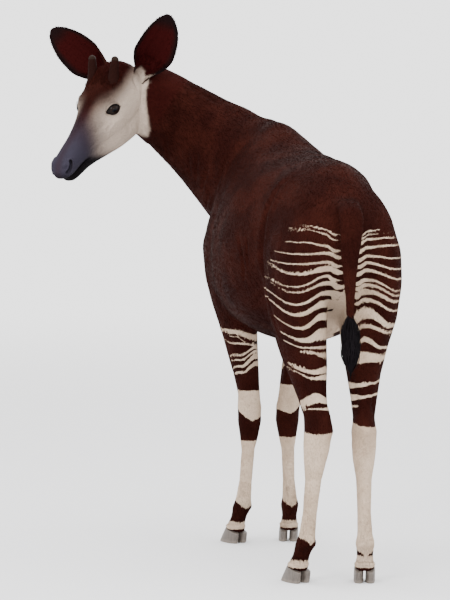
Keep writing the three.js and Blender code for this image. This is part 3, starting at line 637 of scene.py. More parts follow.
def lip_rolls(spots):
    line = off_mouth(spots)
    lips = np.clip((-spots[:, 1] - 352) / 16, 0, 1)
    return lips * (1.9 * np.exp(-((line - 7) / 4.5) ** 2) + 1.5 * np.exp(-((line + 6.5) / 4.5) ** 2)
                   - 4.6 * np.exp(-(line / 1.7) ** 2))


def horn_swell(spots):
    """The raised skin round the root of an ossicone."""
    away, _ = off_line(spots, [(43, -145, 78), (54, -70, 180)])
    return 7 * np.exp(-((away - 20) / 12) ** 2) * (spots[:, 2] > 60)


def nostril(spots):
    away, share = off_line(spots, NOSTRIL_LINE)
    return 3.4 * np.exp(-((away - 8.5) / 4) ** 2) - 12 * np.exp(-(away / (3.1 + 1.6 * (1 - share))) ** 2)


spots = to_head(points_of(head))
rise = lip_rolls(spots) + shaped(spots, MUZZLE_FORMS)
rise += on_both_sides(spots, FACE_FORMS + [(horn_swell,), (nostril,)])
lift(head, rise - FACE_COAT_DEPTH)

# Behind the edges of the lids the hide goes into a pocket, and the ball of the eye fills it.
spots = to_head(points_of(head))
for s in (1, -1):
    e = in_eye(spots, s)
    upper, lower = lid_height(e[:, 0])
    inside = np.minimum(upper - e[:, 1], e[:, 1] - lower)
    near = (np.linalg.norm(e, axis=1) < 46) & (e[:, 2] > 0) & (np.abs(e[:, 0]) < LID_LENGTH + 16)
    reach = np.sqrt(np.maximum(1, (EYE_RADIUS + 3.0) ** 2 - e[:, 0] ** 2 - e[:, 1] ** 2))
    onto = np.clip(1 - np.maximum(-inside, np.abs(e[:, 0]) - LID_LENGTH) / 12, 0, 1)
    onto = onto * onto * (3 - 2 * onto) * (np.linalg.norm(e[:, :2], axis=1) < EYE_RADIUS + 2)
    lifted = e[:, 2] + (reach - e[:, 2]) * onto
    crease = 1.6 * np.exp(-((e[:, 1] - upper - 6.5) / 1.6) ** 2) * (np.abs(e[:, 0]) < LID_LENGTH + 4)
    crease += 1.0 * np.exp(-((e[:, 1] - lower + 6) / 1.6) ** 2) * (np.abs(e[:, 0]) < LID_LENGTH)
    within = (inside > 0) & (np.abs(e[:, 0]) < LID_LENGTH)
    pocket = np.sqrt(np.maximum(1, (EYE_RADIUS - 5) ** 2 - np.minimum((e[:, :2] ** 2).sum(1), 300)))
    depth = np.where(within, np.clip(inside / 1.4, 0, 1), 0)
    lifted = lifted - crease
    e[:, 2] = np.where(near, lifted + (pocket - lifted) * depth, e[:, 2])
    spots = e @ np.array(eye_axes(s)) + EYE_PLACE * (s, 1, 1)
move_to(head, from_head(spots))

# Body and head meet across the neck, where both follow the same curve.
where, way = curve_at(NECK_LINE, 0.76)
cut_off(body, place(where - way * 3)[0], way)
cut_off(head, place(where + way * 3)[0], -way)
BODY_TRIANGLES, HEAD_TRIANGLES = 91000, 70000
for piece, most in ((body, BODY_TRIANGLES), (head, HEAD_TRIANGLES)):
    finish_with(piece, "TRIANGULATE")
    finish_with(piece, "DECIMATE", ratio=most / len(piece.data.polygons))
skin = join([body, head], "hide")
work_on(skin)
bpy.ops.object.mode_set(mode="EDIT")
bpy.ops.mesh.select_mode(type="EDGE")
bpy.ops.mesh.select_all(action="DESELECT")
bpy.ops.mesh.select_non_manifold()
bpy.ops.mesh.bridge_edge_loops()
bpy.ops.mesh.quads_convert_to_tris()
bpy.ops.object.mode_set(mode="OBJECT")
seam = (points_of(skin) - place(where)[0]) @ way * 1000
smooth_where(skin, np.where(np.abs(seam) < 40, 1 - np.abs(seam) / 44, 0), 12)


RIM_STEPS, RIM_SIDES = 72, 10


def lid_rim(s):
    """The dark rolled edge of both lids, which lies on the ball of the eye."""
    turn = np.linspace(0, 2 * np.pi, RIM_STEPS + 1)[:-1]
    u = LID_LENGTH * np.cos(turn)
    upper, lower = lid_height(u)
    v = np.where(np.sin(turn) >= 0, upper, lower)
    path = np.stack([u, v, np.sqrt(np.maximum(9, (EYE_RADIUS + 1.2) ** 2 - u * u - v * v))], axis=1)
    way = np.roll(path, -1, axis=0) - np.roll(path, 1, axis=0)
    way /= np.linalg.norm(way, axis=1)[:, None]
    out = path / np.linalg.norm(path, axis=1)[:, None]
    beside = np.cross(way, out)
    around = (np.arange(RIM_SIDES) / RIM_SIDES * 2 * np.pi)[None, :, None]
    thick = np.where(np.sin(turn) >= 0, 2.3, 1.7)[:, None, None]
    rings = path[:, None] + thick * (np.cos(around) * out[:, None] + np.sin(around) * beside[:, None])
    faces = []
    for k in range(RIM_STEPS):
        here, after = k * RIM_SIDES, (k + 1) % RIM_STEPS * RIM_SIDES
        for i in range(RIM_SIDES):
            j = (i + 1) % RIM_SIDES
            faces.append((here + i, here + j, after + j, after + i))
    piece = new_piece("lid_rim", from_eye(rings.reshape(-1, 3), s), faces)
    edit(piece, bpy.ops.mesh.normals_make_consistent, inside=False)
    return piece


def give(piece, name, values):
    """Keeps a number, a place or a colour with each point of a piece."""
    kind = {1: "FLOAT", 3: "FLOAT_VECTOR", 4: "FLOAT_COLOR"}[values.shape[1] if values.ndim > 1 else 1]
    key = {"FLOAT": "value", "FLOAT_VECTOR": "vector", "FLOAT_COLOR": "color"}[kind]
    field = piece.data.attributes.get(name) or piece.data.attributes.new(name, kind, "POINT")
    field.data.foreach_set(key, values.astype(np.float32).ravel())


def kept(piece, name, size):
    found = np.empty(len(piece.data.vertices) * size, np.float32)
    key = {1: "value", 3: "vector", 4: "color"}[size]
    piece.data.attributes[name].data.foreach_get(key, found)
    return found.reshape(-1, size).astype(float) if size > 1 else found.astype(float)


def ear_places(piece, side):
    """Along each point of an ear: across from rim to rim, up to the tip, and whether inside."""
    count = len(EAR_ACROSS)
    found = np.zeros((len(EAR_LEAF_ROWS), 2 * count, 3))
    found[:, :count, 0], found[:, count:, 0] = EAR_ACROSS, EAR_ACROSS[::-1]
    found[:, :, 1] = EAR_LEAF_ROWS[:, :1]
    found[:, count:, 2] = 1
    give(piece, "ear", np.vstack([found.reshape(-1, 3), [[0, 0, 1], [0, 1, 1]]]))
    give(piece, "zone", np.full(len(piece.data.vertices), EAR_ZONES[side]))


# A point's zone: none on the body, rising over the neck to one on the head, then ears and lids.
EAR_ZONES, LID_ZONE = {"left": 2.0, "right": 3.0}, 4.0
spots = points_of(skin)
beyond = (spots - place(where)[0]) @ way * 1000
give(skin, "zone", np.clip(beyond / 60 + 0.5, 0, 1) * (spots[:, 0] > ANIMAL_PLACE[0] + 0.1))
give(skin, "ear", np.zeros((len(spots), 3)))
leaves, rims = [make_ear(side) for side in EAR_ZONES], [lid_rim(s) for s in (1, -1)]
for leaf, side in zip(leaves, EAR_ZONES):
    ear_places(leaf, side)
for rim in rims:
    give(rim, "zone", np.full(len(rim.data.vertices), LID_ZONE))
    give(rim, "ear", np.zeros((len(rim.data.vertices), 3)))
join([skin] + leaves + rims, "hide")
finish_with(skin, "TRIANGULATE")
work_on(skin)
bpy.ops.object.shade_smooth()
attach(skin, "root")
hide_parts("torso", "neck", "head", "ear_left", "ear_right", "foreleg_left",
            "foreleg_right", "hindleg_left", "hindleg_right", "tail")

# The markings: cream stripes round the thighs, bands round the legs, and the pale face with
# its dark muzzle. Each point of the hide and of the coat keeps where it lies among them.

# A stripe's start and end in degrees round its leg, its height behind the leg, how far it sags
# outside and rises in front, and half its width at its start, behind the leg and at its end.
STRIPES = {
    "hindleg_left": [
        (-24, 26, 1175, -15, 15, 3, 2.5, 1.5), (-25, 51, 1160, -22, 22, 3, 2.5, 1),
        (-29, 52, 1124, -14, 20, 5, 4.5, 1), (-35, 73, 1103, 3, 8, 6, 5, 1),
        (-38, 80, 1074, 7, 2, 5, 4.5, 1.5), (-44, 92, 1053, 16, 20, 8, 11, 1.5),
        (-45, 104, 1028, 36, -10, 5, 4, 1), (-57, 49, 1004, 28, 20, 8, 6, 1.5),
        (-68, 118, 971, 36, 8, 10, 6, 1.5), (-83, 111, 936, 35, 17, 14, 12, 1.5),
        (-108, 78, 894, 38, 14, 13, 12, 2), (-127, 72, 835, 20, 20, 20, 21, 2.5),
        (-125, 71, 791, 0, 35, 5, 5, 2), (-125, 37, 766, -14, 14, 10, 9, 2),
        (-125, 84, 715, 5, 20, 11, 11, 6), (-125, 103, 693, 3, 28, 9, 9, 2),
        (-125, 100, 615, -10, -20, 10, 10, 20), (-125, 74, 591, 0, -4, 5, 5, 2)],
    "hindleg_right": [
        (-31, 5, 1171, -10, 10, 4, 2.5, 1), (-31, -2, 1163, -4, 4, 2.5, 1.5, 1),
        (-34, 36, 1148, -4, 10, 6, 4, 2), (-36, 58, 1121, -6, 14, 6.5, 4.5, 2),
        (-38, 58, 1093, 9, 4, 6.5, 4.5, 1.5), (-40, 86, 1071, 24, -18, 6.5, 4.5, 1.5),
        (-44, 78, 1046, 30, -22, 7.5, 5, 2), (-48, 82, 1014, 39, -34, 7, 4.5, 1.5),
        (-49, 86, 997, 35, -29, 8, 4.5, 1.5), (-52, 82, 975, 33, -28, 16, 8, 3),
        (-51, 78, 947, 35, -30, 7, 6, 1.5), (-50, 82, 904, 44, -46, 26, 17, 3.5),
        (-48, 78, 861, 20, -15, 7, 6.5, 3.5), (-42, 88, 818, 30, -40, 8, 8.5, 3),
        (-125, 70, 757, 3, 10, 20, 19, 13), (-125, 84, 665, -6, 14, 12, 6, 3.5),
        (-125, 86, 626, -4, 12, 15, 5, 3.5), (-125, -45, 598, 0, 0, 4, 3, 2)],
    "foreleg_left": [
        (-95, 91, 760, -26, 30, 18, 14, 7), (6, 41, 755, -14, 14, 1, 1, 1),
        (-95, 115, 741, -2, 14, 10, 6.5, 1.5), (-95, 85, 727, 30, -38, 9, 5, 2),
        (-95, 86, 712, 31, -36, 7.5, 4, 1.5), (-95, 88, 695, 38, -52, 15, 11, 2),
        (-95, 89, 667, 32, -42, 12, 8, 3)]}
STRIPES["foreleg_right"] = STRIPES["foreleg_left"]
NO_STRIPE = 3.0  # beyond its ends a stripe's half width is this far below none
BANDS = {  # pale from one height to another, in millimetres, at the back of each leg
    "foreleg_left": [(52, 80), (146, 381), (462, 566)],
    "foreleg_right": [(52, 80), (150, 392), (486, 585), (667, 744)],
    "hindleg_left": [(52, 78), (146, 513)],
    "hindleg_right": [(52, 94), (100, 534)]}
MUCH = 60.0  # far enough from any mark


def angle_round(m, fore):
    """Degrees round a leg: none at the back, plus outside, and 180 in front."""
    return np.degrees(np.arctan2(m[:, 0] * (1.0 if fore else 2.0), m[:, 1]))


def soft(x, low, high):
    t = np.clip((x - low) / (high - low), 0, 1)
    return t * t * (3 - 2 * t)


def stripe_round(angle, start, end, height, sag, rise, first, behind, last):
    """How high one stripe is at each angle, and half its width there."""
    level = height - 14 * (1 - soft(angle, start, start + 12)) + 0.1 * np.minimum(0, angle + 40)
    level = level - sag * soft(angle, -30, 25) + (sag + rise) * soft(angle, 30, 105)
    back = min(max(-25, start + 1), end - 1)
    t = np.clip((angle - back) / (end - back), 0, 1)
    half = np.interp(angle, [start, back], [first, behind]) + (last - behind) * t * (2 - t)
    shown = np.interp(angle, [start - 9, start, end, end + 9], [0, 1, 1, 0])
    return level, half * shown - NO_STRIPE * (1 - shown)


def stripes_of(height, angle, stripes):
    """Where each spot is from stripe to stripe, and how wide half the nearest one is there."""
    rounds = [stripe_round(angle, *stripe) for stripe in stripes]
    levels, halves = (list(found) for found in zip(*rounds))
    for k in range(1, len(levels)):
        levels[k] = np.minimum(levels[k], levels[k - 1] - 4)
    levels = np.array([levels[0] + MUCH, *levels, levels[-1] - MUCH])
    none = np.full(len(height), -NO_STRIPE)
    halves, spot = np.array([none, *halves, none]), np.arange(len(height))
    upper = np.clip((levels > height).sum(0) - 1, 0, len(levels) - 2)
    gap = levels[upper, spot] - levels[upper + 1, spot]
    phase = np.clip(upper + (levels[upper, spot] - height) / gap, 0, len(levels) - 1)
    nearest = np.clip(np.round(phase).astype(int), 0, len(levels) - 1)
    return phase, halves[nearest, spot] / gap


def leg_marks(spots):
    """For each spot the stripe it is in, that stripe's half width, and how deep in a pale band."""
    phase, half = np.full(len(spots), 0.5), np.zeros(len(spots))
    pale = np.full(len(spots), -MUCH)
    for leg in LEGS:
        fore = leg.startswith("fore")
        m = in_leg(spots, leg)
        angle, z = angle_round(m, fore), m[:, 2]
        p, h = stripes_of(z, angle, STRIPES[leg])
        if fore:
            tilt = np.interp(angle, [-180, -60, 0, 40, 90, 180], [8, 6, -8, 10, 34, 14])
        else:
            edge = np.interp(z, [780, 850, 900, 950, 1000, 1050, 1100, 1160],
                             [130, 120, 104, 76, 58, 47, 37, 29] if leg.endswith("left") else
                             [66, 58, 56, 56, 54, 47, 41, 36])
            h = np.maximum(h, 0.62 * soft(-angle, edge, edge + 10) * soft(z, 772, 800)
                           * soft(1176 - z, 0, 20) * soft(angle, -176, -150))
            tilt = np.interp(angle, [-180, -60, 0, 60, 180], [10, 6, 0, -6, 8])
        notch = np.interp(np.abs(angle - 8), [0, 40, 90, 180], [-15, 3, 14, 16])
        band = np.full(len(spots), -MUCH)
        for low, high in BANDS[leg]:
            lower = low + (notch if 90 < low < 200 else tilt if low > 400 and fore else 0)
            upper = high + (tilt if high > 400 and not fore else 0)
            band = np.maximum(band, np.minimum(z - lower, upper - z))
        if fore:
            shin = (np.abs(np.abs(angle) - 180) - 15) * 0.5
            band = np.where((z > 150) & (z < 400), np.minimum(band, shin), band)
        on = leg_mask(spots, leg)
        reach = (np.linalg.norm(m[:, :2] * (1, 0.5), axis=1) < 175) & (z < 1262)
        phase, half = np.where(on, p, phase), np.where(on & reach, h, half)
        pale = np.where(on & (z < 770), band, pale)
    return phase, half, pale


def off_lids(h, s):
    """How far each spot of the head is outside the lids' edges, near one eye."""
    e = in_eye(h, s)
    upper, lower = lid_height(e[:, 0])
    edge = np.maximum(np.maximum(e[:, 1] - upper, lower - e[:, 1]), np.abs(e[:, 0]) - LID_LENGTH)
    return np.where((np.linalg.norm(e, axis=1) < 50) & (e[:, 2] > 0), edge, MUCH)


def face_marks(spots, zone):
    """Shares of cream, slate, black and red at each spot of the head."""
    h = to_head(place(spots))
    side, ahead, above = np.abs(h[:, 0]), -h[:, 1], h[:, 2]
    head_part = soft(zone, 0.5, 1) * (zone < 1.5)
    throat = np.interp(above, [-156, -104, -62, -24, 5, 28, 60], [125, 109, 90, 67, 41, 5, -10])
    top = np.interp(ahead, [0, 60, 130, 190, 260, 330], [60, 64, 66, 66, 62, 54])
    cheek = soft(side, np.interp(ahead, [120, 190], [26, 7]), np.interp(ahead, [120, 190], [54, 42]))
    cheek *= soft(top - above, -40, 36) * soft(ahead - throat, -3, 4)
    cheek *= 1 - soft(ahead + 0.7 * np.clip(above + 40, 0, 80), 270, 415)
    under = soft(-above, 90, 120) * soft(ahead - throat, -3, 4) * (1 - soft(ahead, 250, 320))
    cream = np.maximum(cheek, under) * soft(zone, 0.05, 0.3)
    slate = soft(ahead, 225, 420) * (0.7 + 0.3 * soft(side, 0, 26))
    line = off_mouth(h)
    black = soft(ahead + 1.5 * np.clip(-40 - above, 0, 70), 345, 395) * soft(-line, -14, 0)
    black = np.maximum(black, soft(ahead, 476, 500) * soft(-line, -40, -6) * 0.7)
    black = np.maximum(black, soft(ahead, 335, 375) * np.exp(-(line / 9) ** 2))
    for s in (1, -1):
        slit, _ = off_line(h * (s, 1, 1), NOSTRIL_LINE)
        black = np.maximum(black, 1 - soft(off_lids(h, s), 0.5, 5))
        black = np.maximum(black, 1 - soft(slit, 4, 9))
    red = soft(zone, 0, 0.7) * (1 - cream) * (1 - soft(ahead, 60, 150)) * 0.5
    return np.stack([cream, slate * head_part, black * head_part, red], axis=1) * (zone > 0)[:, None]


def stripes_at(spots, zone):
    """The marks of legs and thighs, with none on the neck, the head and the tail."""
    phase, half, pale = leg_marks(spots)
    hang = line_through(TAIL_LINE, 40)[0][4:]
    off_tail = np.linalg.norm(spots[:, None] - hang[None], axis=2).min(1)
    away = (zone > 0) | ((off_tail < 46) & (spots[:, 1] > 672 + 0.04 * (spots[:, 2] - 900)))
    half[away], pale[away] = 0, -MUCH
    return np.stack([phase, half, pale], axis=1)


spots = plan(points_of(skin))
zone, ear = kept(skin, "zone", 1), kept(skin, "ear", 3)
marks = face_marks(spots, zone)
leaf = (zone > 1.5) & (zone < 3.5)
inside = leaf & (ear[:, 2] > 0.5)
rim = soft(np.abs(ear[:, 0]), 0.62, 0.95) + soft(ear[:, 1], 0.8, 0.97)
marks[leaf] = 0
marks[inside, 3] = (1 - np.clip(rim, 0, 1))[inside]
marks[leaf, 2] = np.where(inside, np.clip(rim, 0, 1) * 0.75, 0.55 * soft(ear[:, 1], 0.2, 0.9))[leaf]
marks[zone > 3.5] = (0, 0, 1, 0)
give(skin, "stripe", stripes_at(spots, zone))
give(skin, "marks", marks)
give(skin, "root", points_of(skin))


def lie_of(spots, zone, ear):
    """The way the hair points at each spot, from its root to its tip."""
    neck = [curve_at(NECK_LINE, t) for t in np.linspace(0, 1, 60)[::6]]
    neck_middle, neck_way = np.array(neck).transpose(1, 0, 2)
    x, y, z = spots.T
    found = np.stack([0 * x, 0.9 + 0 * y, -0.35 - 0.3 * soft(1300 - z, 0, 300)], axis=1)
    low = soft(-z, -1150, -820) * (np.abs(y + 60) > 250)
    rear = soft(y, 330, 600) * soft(-z, -1400, -1250)
    front = soft(-y, 520, 640) * soft(-z, -1330, -1180)
    down = np.clip(np.maximum(np.maximum(low, rear), front), 0, 1)[:, None]
    found = found * (1 - down) + np.array([0, 0.12, -1.0]) * down
    gaps = np.linalg.norm(spots[:, None] - neck_middle[None], axis=2)
    nearest = gaps.argmin(1)
    along = soft(nearest / 9, 0.1, 0.45) * (y < -380) * (1 - front)
    found = found * (1 - along[:, None]) - (neck_way[nearest] + (0, 0, 0.25)) * along[:, None]
    h = to_head(place(spots))
    side, ahead, above = h[:, 0], -h[:, 1], h[:, 2]
    drop = -0.5 * soft(60 - above, 0, 90) * soft(230 - ahead, 0, 120) + 0.25 * soft(above, 40, 90)
    face = np.stack([0.2 * np.tanh(side / 40), 0 * y + 1, drop], axis=1) @ HEAD_AXES.T
    share = (soft(zone, 0.5, 1) * (zone < 1.5))[:, None]
    found = found * (1 - share) + face * share
    stations = np.linspace(0, 1, 17)
    row = np.clip(np.round(ear[:, 1] * 16).astype(int), 0, 16)
    fan = ear[:, :1] * np.where(ear[:, 2:] > 0.5, 0.9, 0.3)
    for which, number in EAR_ZONES.items():
        up = np.array([curve_at(EAR_LINES[which], t)[1] for t in stations])
        across = np.array([ear_frame(which, t)[1] for t in stations])
        along_ear = (up[row] + across[row] * fan) @ HEAD_AXES.T
        found = np.where((np.abs(zone - number) < 0.5)[:, None], along_ear, found)
    hang, hang_way = line_through(TAIL_LINE, 40)
    gaps = np.linalg.norm(spots[:, None] - hang[None, 6:], axis=2)
    on_tail = soft(-gaps.min(1), -60, -30) * (y > 600) * (zone < 0.5)
    return found * (1 - on_tail[:, None]) + hang_way[6:][gaps.argmin(1)] * on_tail[:, None]


def laid_flat(ways, normals):
    """Ways turned into the surface."""
    flat = ways - (ways * normals).sum(1)[:, None] * normals
    return flat / np.maximum(np.linalg.norm(flat, axis=1), 1e-6)[:, None]


give(skin, "lie", laid_flat(lie_of(spots, zone, ear), normals_of(skin)))
skin.data.uv_layers.new(name="OFBake")
edit(skin, bpy.ops.uv.smart_project, angle_limit=math.radians(66), island_margin=0.001)


class Wire:
    """A socket of a material's nodes, so that sums on it are written as sums."""

    def __init__(self, tree, socket=None):
        self.tree, self.socket = tree, socket

    def node(self, kind, settings=None, values=None, out=0):
        made = self.tree.nodes.new("ShaderNode" + kind)
        for key, value in (settings or {}).items():
            if key != "stops":
                setattr(made, key, value)
                continue
            ends = made.color_ramp.elements
            for i, (at, colour) in enumerate(value):
                stop = ends[i] if i < len(ends) else ends.new(at)
                stop.position, stop.color = at, (*colour, 1)
        for key, value in (values or {}).items():
            if isinstance(value, Wire):
                self.tree.links.new(value.socket, made.inputs[key])
            else:
                made.inputs[key].default_value = value
        return Wire(self.tree, made.outputs[out])

    def sum(self, operation, *values):
        return self.node("Math", {"operation": operation}, dict(enumerate(values)))

    def __add__(self, other):
        return self.sum("ADD", self, other)

    def __sub__(self, other):
        return self.sum("SUBTRACT", self, other)

    def __rsub__(self, other):
        return self.sum("SUBTRACT", other, self)

    def __mul__(self, other):
        return self.sum("MULTIPLY", self, other)

    def __truediv__(self, other):
        return self.sum("DIVIDE", self, other)

    def __rtruediv__(self, other):
        return self.sum("DIVIDE", other, self)

    __radd__, __rmul__ = __add__, __mul__

    def within(self, low, high):
        """From none at low to one at high."""
        settings = {"interpolation_type": "SMOOTHSTEP"}
        return self.node("MapRange", settings, {"Value": self, "From Min": low, "From Max": high})

    def noise(self, scale, detail=2.0, stretch=None):
        at = self.times(stretch) if stretch else self
        return self.node("TexNoise", None, {"Vector": at, "Scale": scale, "Detail": detail})

    def times(self, other):
        return self.node("VectorMath", {"operation": "MULTIPLY"}, {0: self, 1: other})

    def dimmed(self, share):
        return self.node("VectorMath", {"operation": "SCALE"}, {0: self, "Scale": share})

    def blend(self, first, second):
        """The first colour, or the second as far as this share says."""
        return self.node("Mix", {"data_type": "RGBA"}, {0: self, 6: first, 7: second}, 2)

    def mixed(self, share, other):
        return share.blend(self, other)

    def ramp(self, *stops):
        return self.node("ValToRGB", {"stops": stops}, {0: self})

    def part(self, k):
        return self.node("SeparateXYZ", None, {0: self}, k)

    def with_points(self, name, out="Vector"):
        """What each point of the piece keeps under this name."""
        return self.node("Attribute", {"attribute_name": name}, out=out)

    def to(self, shader, socket):
        self.tree.links.new(self.socket, shader.inputs[socket])

    def bump(self, shader, strength, distance):
        values = {"Strength": strength, "Distance": distance, "Height": self}
        self.node("Bump", None, values).to(shader, "Normal")


def new_finish(name, **constants):
    """A material, the start of its sums, and its shader with what is the same all over."""
    material = bpy.data.materials.new(name)
    material.use_nodes = True
    shader = material.node_tree.nodes["Principled BSDF"]
    for key, value in constants.items():
        shader.inputs[key.replace("_", " ")].default_value = value
    return material, Wire(material.node_tree), shader


COAT_DARK = (0.0135, 0.0030, 0.0022, 1)
COAT_WARM = (0.0225, 0.0052, 0.0035, 1)
CREAM = (0.47, 0.36, 0.27, 1)
CREAM_DULL = (0.36, 0.265, 0.19, 1)
FACE_CREAM = (0.40, 0.32, 0.26, 1)
SLATE = (0.026, 0.023, 0.034, 1)
NEAR_BLACK = (0.0045, 0.0038, 0.0045, 1)
EAR_RED = (0.022, 0.0028, 0.0028, 1)

coat, start, shader = new_finish("coat", Specular_IOR_Level=0.012, Specular_Tint=(1, 0.72, 0.6, 1))
root, lying = start.with_points("root"), start.with_points("lie")
phase, half, pale = (start.with_points("stripe").part(k) for k in range(3))
shares, warm = start.with_points("marks", "Color"), start.with_points("marks", "Alpha")
cream_face, slate, dark_edge = (shares.node("SeparateColor", None, {0: shares}, k) for k in range(3))
to_tip, chance = (start.with_points("tuft").part(k) for k in range(2))
strands = 0.0
for k, stretch in enumerate([(60, 620, 620), (620, 60, 620), (620, 620, 60)]):
    strands = lying.times(lying).part(k) * root.noise(1.0, 3.0, stretch) + strands
ragged, drift, patch = root.noise(300.0) - 0.5, root.noise(28.0) - 0.5, root.noise(9.0, 3.0)
phase = phase + drift * 0.15 + ragged * 0.035
gap = start.sum("ABSOLUTE", phase - start.sum("ROUND", phase))
stripe = (half - gap).within(-0.02, 0.025) * half.within(0.004, 0.012)
band = (pale + ragged * 9.0 + root.noise(85.0) * 7.0 - 3.5).within(-0.9, 0.9)
cream = start.sum("MAXIMUM", stripe, band)
colour = patch.within(0.35, 0.7).blend(COAT_DARK, COAT_WARM)
light = patch.within(0.4, 0.72).blend(CREAM, CREAM_DULL)
for share, other in [(cream, light), (warm, EAR_RED), (cream_face, FACE_CREAM), (slate, SLATE),
                     (dark_edge, NEAR_BLACK)]:
    colour = colour.mixed(share, other)
# Painted light: each tuft is painted lighter towards its tip, to offset the shade that falls between the
# tufts. The strand noise and a random share for each tuft vary the tone.
colour = colour.dimmed((strands * 0.5 + 0.75) * (chance * 0.36 + 0.82) * (to_tip * 0.3 + 0.92))
colour.to(shader, "Base Color")
(strands * 0.25 + 0.5 - slate * 0.12).to(shader, "Roughness")
strands.bump(shader, 0.5, 0.0012)
skin.data.materials.clear()
skin.data.materials.append(coat)
give(skin, "tuft", np.tile([0.0, 0.5, 0.0], (len(spots), 1)))

# The eyes: large dark balls behind the lids, with a brown iris, a pupil that lies level with
# the lids, and a clear front that bulges a little.
IRIS, PUPIL_LONG, PUPIL_HIGH = 0.66, 0.36, 0.17


def make_eye(name, s):
    bpy.ops.mesh.primitive_uv_sphere_add(segments=96, ring_count=64, radius=1)
    eye = bpy.context.view_layer.objects.active
    eye.name = eye.data.name = "ball_of_" + name
    own = points_of(eye)
    off = np.linalg.norm(own[:, :2], axis=1)
    bulge = np.where(own[:, 2] > 0, 1 + 0.075 * (1 - soft(off, 0.2, IRIS + 0.06)), 1)
    give(eye, "gaze", own)
    move_to(eye, from_eye(own * bulge[:, None] * EYE_RADIUS, s))
    edit(eye, bpy.ops.mesh.normals_make_consistent, inside=False)
    bpy.ops.object.shade_smooth()
    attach(eye, "root")
    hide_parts(name)
    return eye


eye_finish, start, shader = new_finish("eye", Coat_Weight=1.0, Coat_Roughness=0.02, Coat_IOR=1.15,
                                       Specular_IOR_Level=0.01)
u, v = (start.with_points("gaze").part(k) for k in range(2))
off = start.sum("SQRT", u * u + v * v)
long, high = u / PUPIL_LONG, v / PUPIL_HIGH
level = start.sum("SQRT", long * long + high * high)
turned = start.sum("ARCTAN2", v, u)
rays = start.node("CombineXYZ", None, {0: turned * 9.0, 1: off * 2.0}).noise(1.0, 3.0)
iris = rays.ramp((0.3, (0.003, 0.0017, 0.0013)), (0.75, (0.012, 0.0055, 0.0035)))
colour = iris.mixed(off.within(IRIS - 0.1, IRIS + 0.02), (0.004, 0.003, 0.003, 1))
colour = colour.mixed(off.within(IRIS + 0.02, IRIS + 0.12), (0.014, 0.009, 0.008, 1))
colour = colour.mixed(1 - level.within(0.92, 1.08), (0.002, 0.002, 0.003, 1))
colour.to(shader, "Base Color")
(0.22 + rays * 0.1).to(shader, "Roughness")
for side, s in (("left", 1), ("right", -1)):
    make_eye("eye_" + side, s).data.materials.append(eye_finish)

# The two ossicones: short horns of bone under skin, wide at the root, bare and worn at the tip.
OSSICONE_ROWS = [(-0.1, 29), (-0.02, 27.5), (0.08, 25), (0.2, 21.5), (0.42, 17.5), (0.66, 15),
                 (0.84, 13.2), (0.9, 12.5), (0.95, 10.6), (0.98, 7.4), (1, 2.4)]
OSSICONE_LONG = 110


def make_ossicone(name, s):
    base, tip = np.array([s * 44, -138, 88.0]), np.array([s * 54, -70, 180.0])
    up = (tip - base) / np.linalg.norm(tip - base)
    left = np.array([1.0, 0, 0]) - up * up[0]
    left /= np.linalg.norm(left)
    rings, share = [], []
    for at, half in rows_between(OSSICONE_ROWS, 6):
        angle = np.arange(64) / 64 * 2 * np.pi
        knobs = 1 + 0.02 * np.sin(3 * angle + 14 * at + s) + 0.012 * np.sin(5 * angle - 31 * at)
        wide = half * knobs * (1 - 0.05 * np.exp(-((at - 0.86) / 0.02) ** 2))
        rings.append(from_head(base + up * at * OSSICONE_LONG + (wide * np.cos(angle))[:, None] * left
                               + (wide * np.sin(angle) * 1.08)[:, None] * np.cross(up, left)))
        share += [at] * 64
    horn = loft("skin_of_" + name, rings)
    give(horn, "up", np.array(share + [-0.1, 1.0]))
    work_on(horn)
    bpy.ops.object.shade_smooth()
    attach(horn, "root")
    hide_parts(name)
    return horn


horn_finish, start, shader = new_finish("horn_skin", Specular_IOR_Level=0.02)
at = start.node("TexCoord", out="Object")
grain = at.noise(420.0, 3.0)
bare = (start.with_points("up", "Fac") + grain * 0.03).within(0.875, 0.9)
skin_colour = grain.blend((0.0055, 0.0017, 0.0014, 1), (0.0150, 0.0043, 0.0031, 1))
tip_colour = at.noise(160.0).blend((0.008, 0.0045, 0.0035, 1), (0.022, 0.013, 0.009, 1))
skin_colour.mixed(bare, tip_colour).to(shader, "Base Color")
(0.72 - bare * 0.4).to(shader, "Roughness")
grain.bump(shader, 0.45, 0.001)
for side, s in (("left", 1), ("right", -1)):
    make_ossicone("ossicone_" + side, s).data.materials.append(horn_finish)

# The hooves: two claws of grey horn to a foot, ringed by growth and worn along the lower edge.
HOOF_NODES = [f"{end}hoof_{side}_{claw}" for end in ("fore", "hind") for side in ("left", "right")
              for claw in ("inner", "outer")]
HOOF_VOXEL = 0.0016


def make_hoof(node):
    hoof = copy_of(node)
    hoof.name = hoof.data.name = "horn_of_" + node
    finish_with(hoof, "REMESH", mode="VOXEL", voxel_size=HOOF_VOXEL, adaptivity=0)
    was = points_of(hoof)
    finish_with(hoof, "SMOOTH", factor=0.5, iterations=14)
    own = points_of(hoof)
    sole = 1 - soft(was[:, 2], 0.0005, 0.006)
    own[:, 2] = own[:, 2] + (was[:, 2] - own[:, 2]) * sole
    own[:, :2] += (was[:, :2] - own[:, :2]) * (sole * 0.6)[:, None]
    move_to(hoof, own)
    wall = soft(own[:, 2], 0.003, 0.012) * soft(1 - np.abs(normals_of(hoof)[:, 2]), 0.2, 0.6)
    rings = 0.35 * np.sin(own[:, 2] * 1050) + 0.2 * np.sin(own[:, 2] * 2300 + 40 * own[:, 0])
    move_to(hoof, own + normals_of(hoof) * (wall * (rings - 0.3) / 1000)[:, None])
    bpy.ops.object.shade_smooth()
    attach(hoof, "root")
    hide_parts(node)
    return hoof


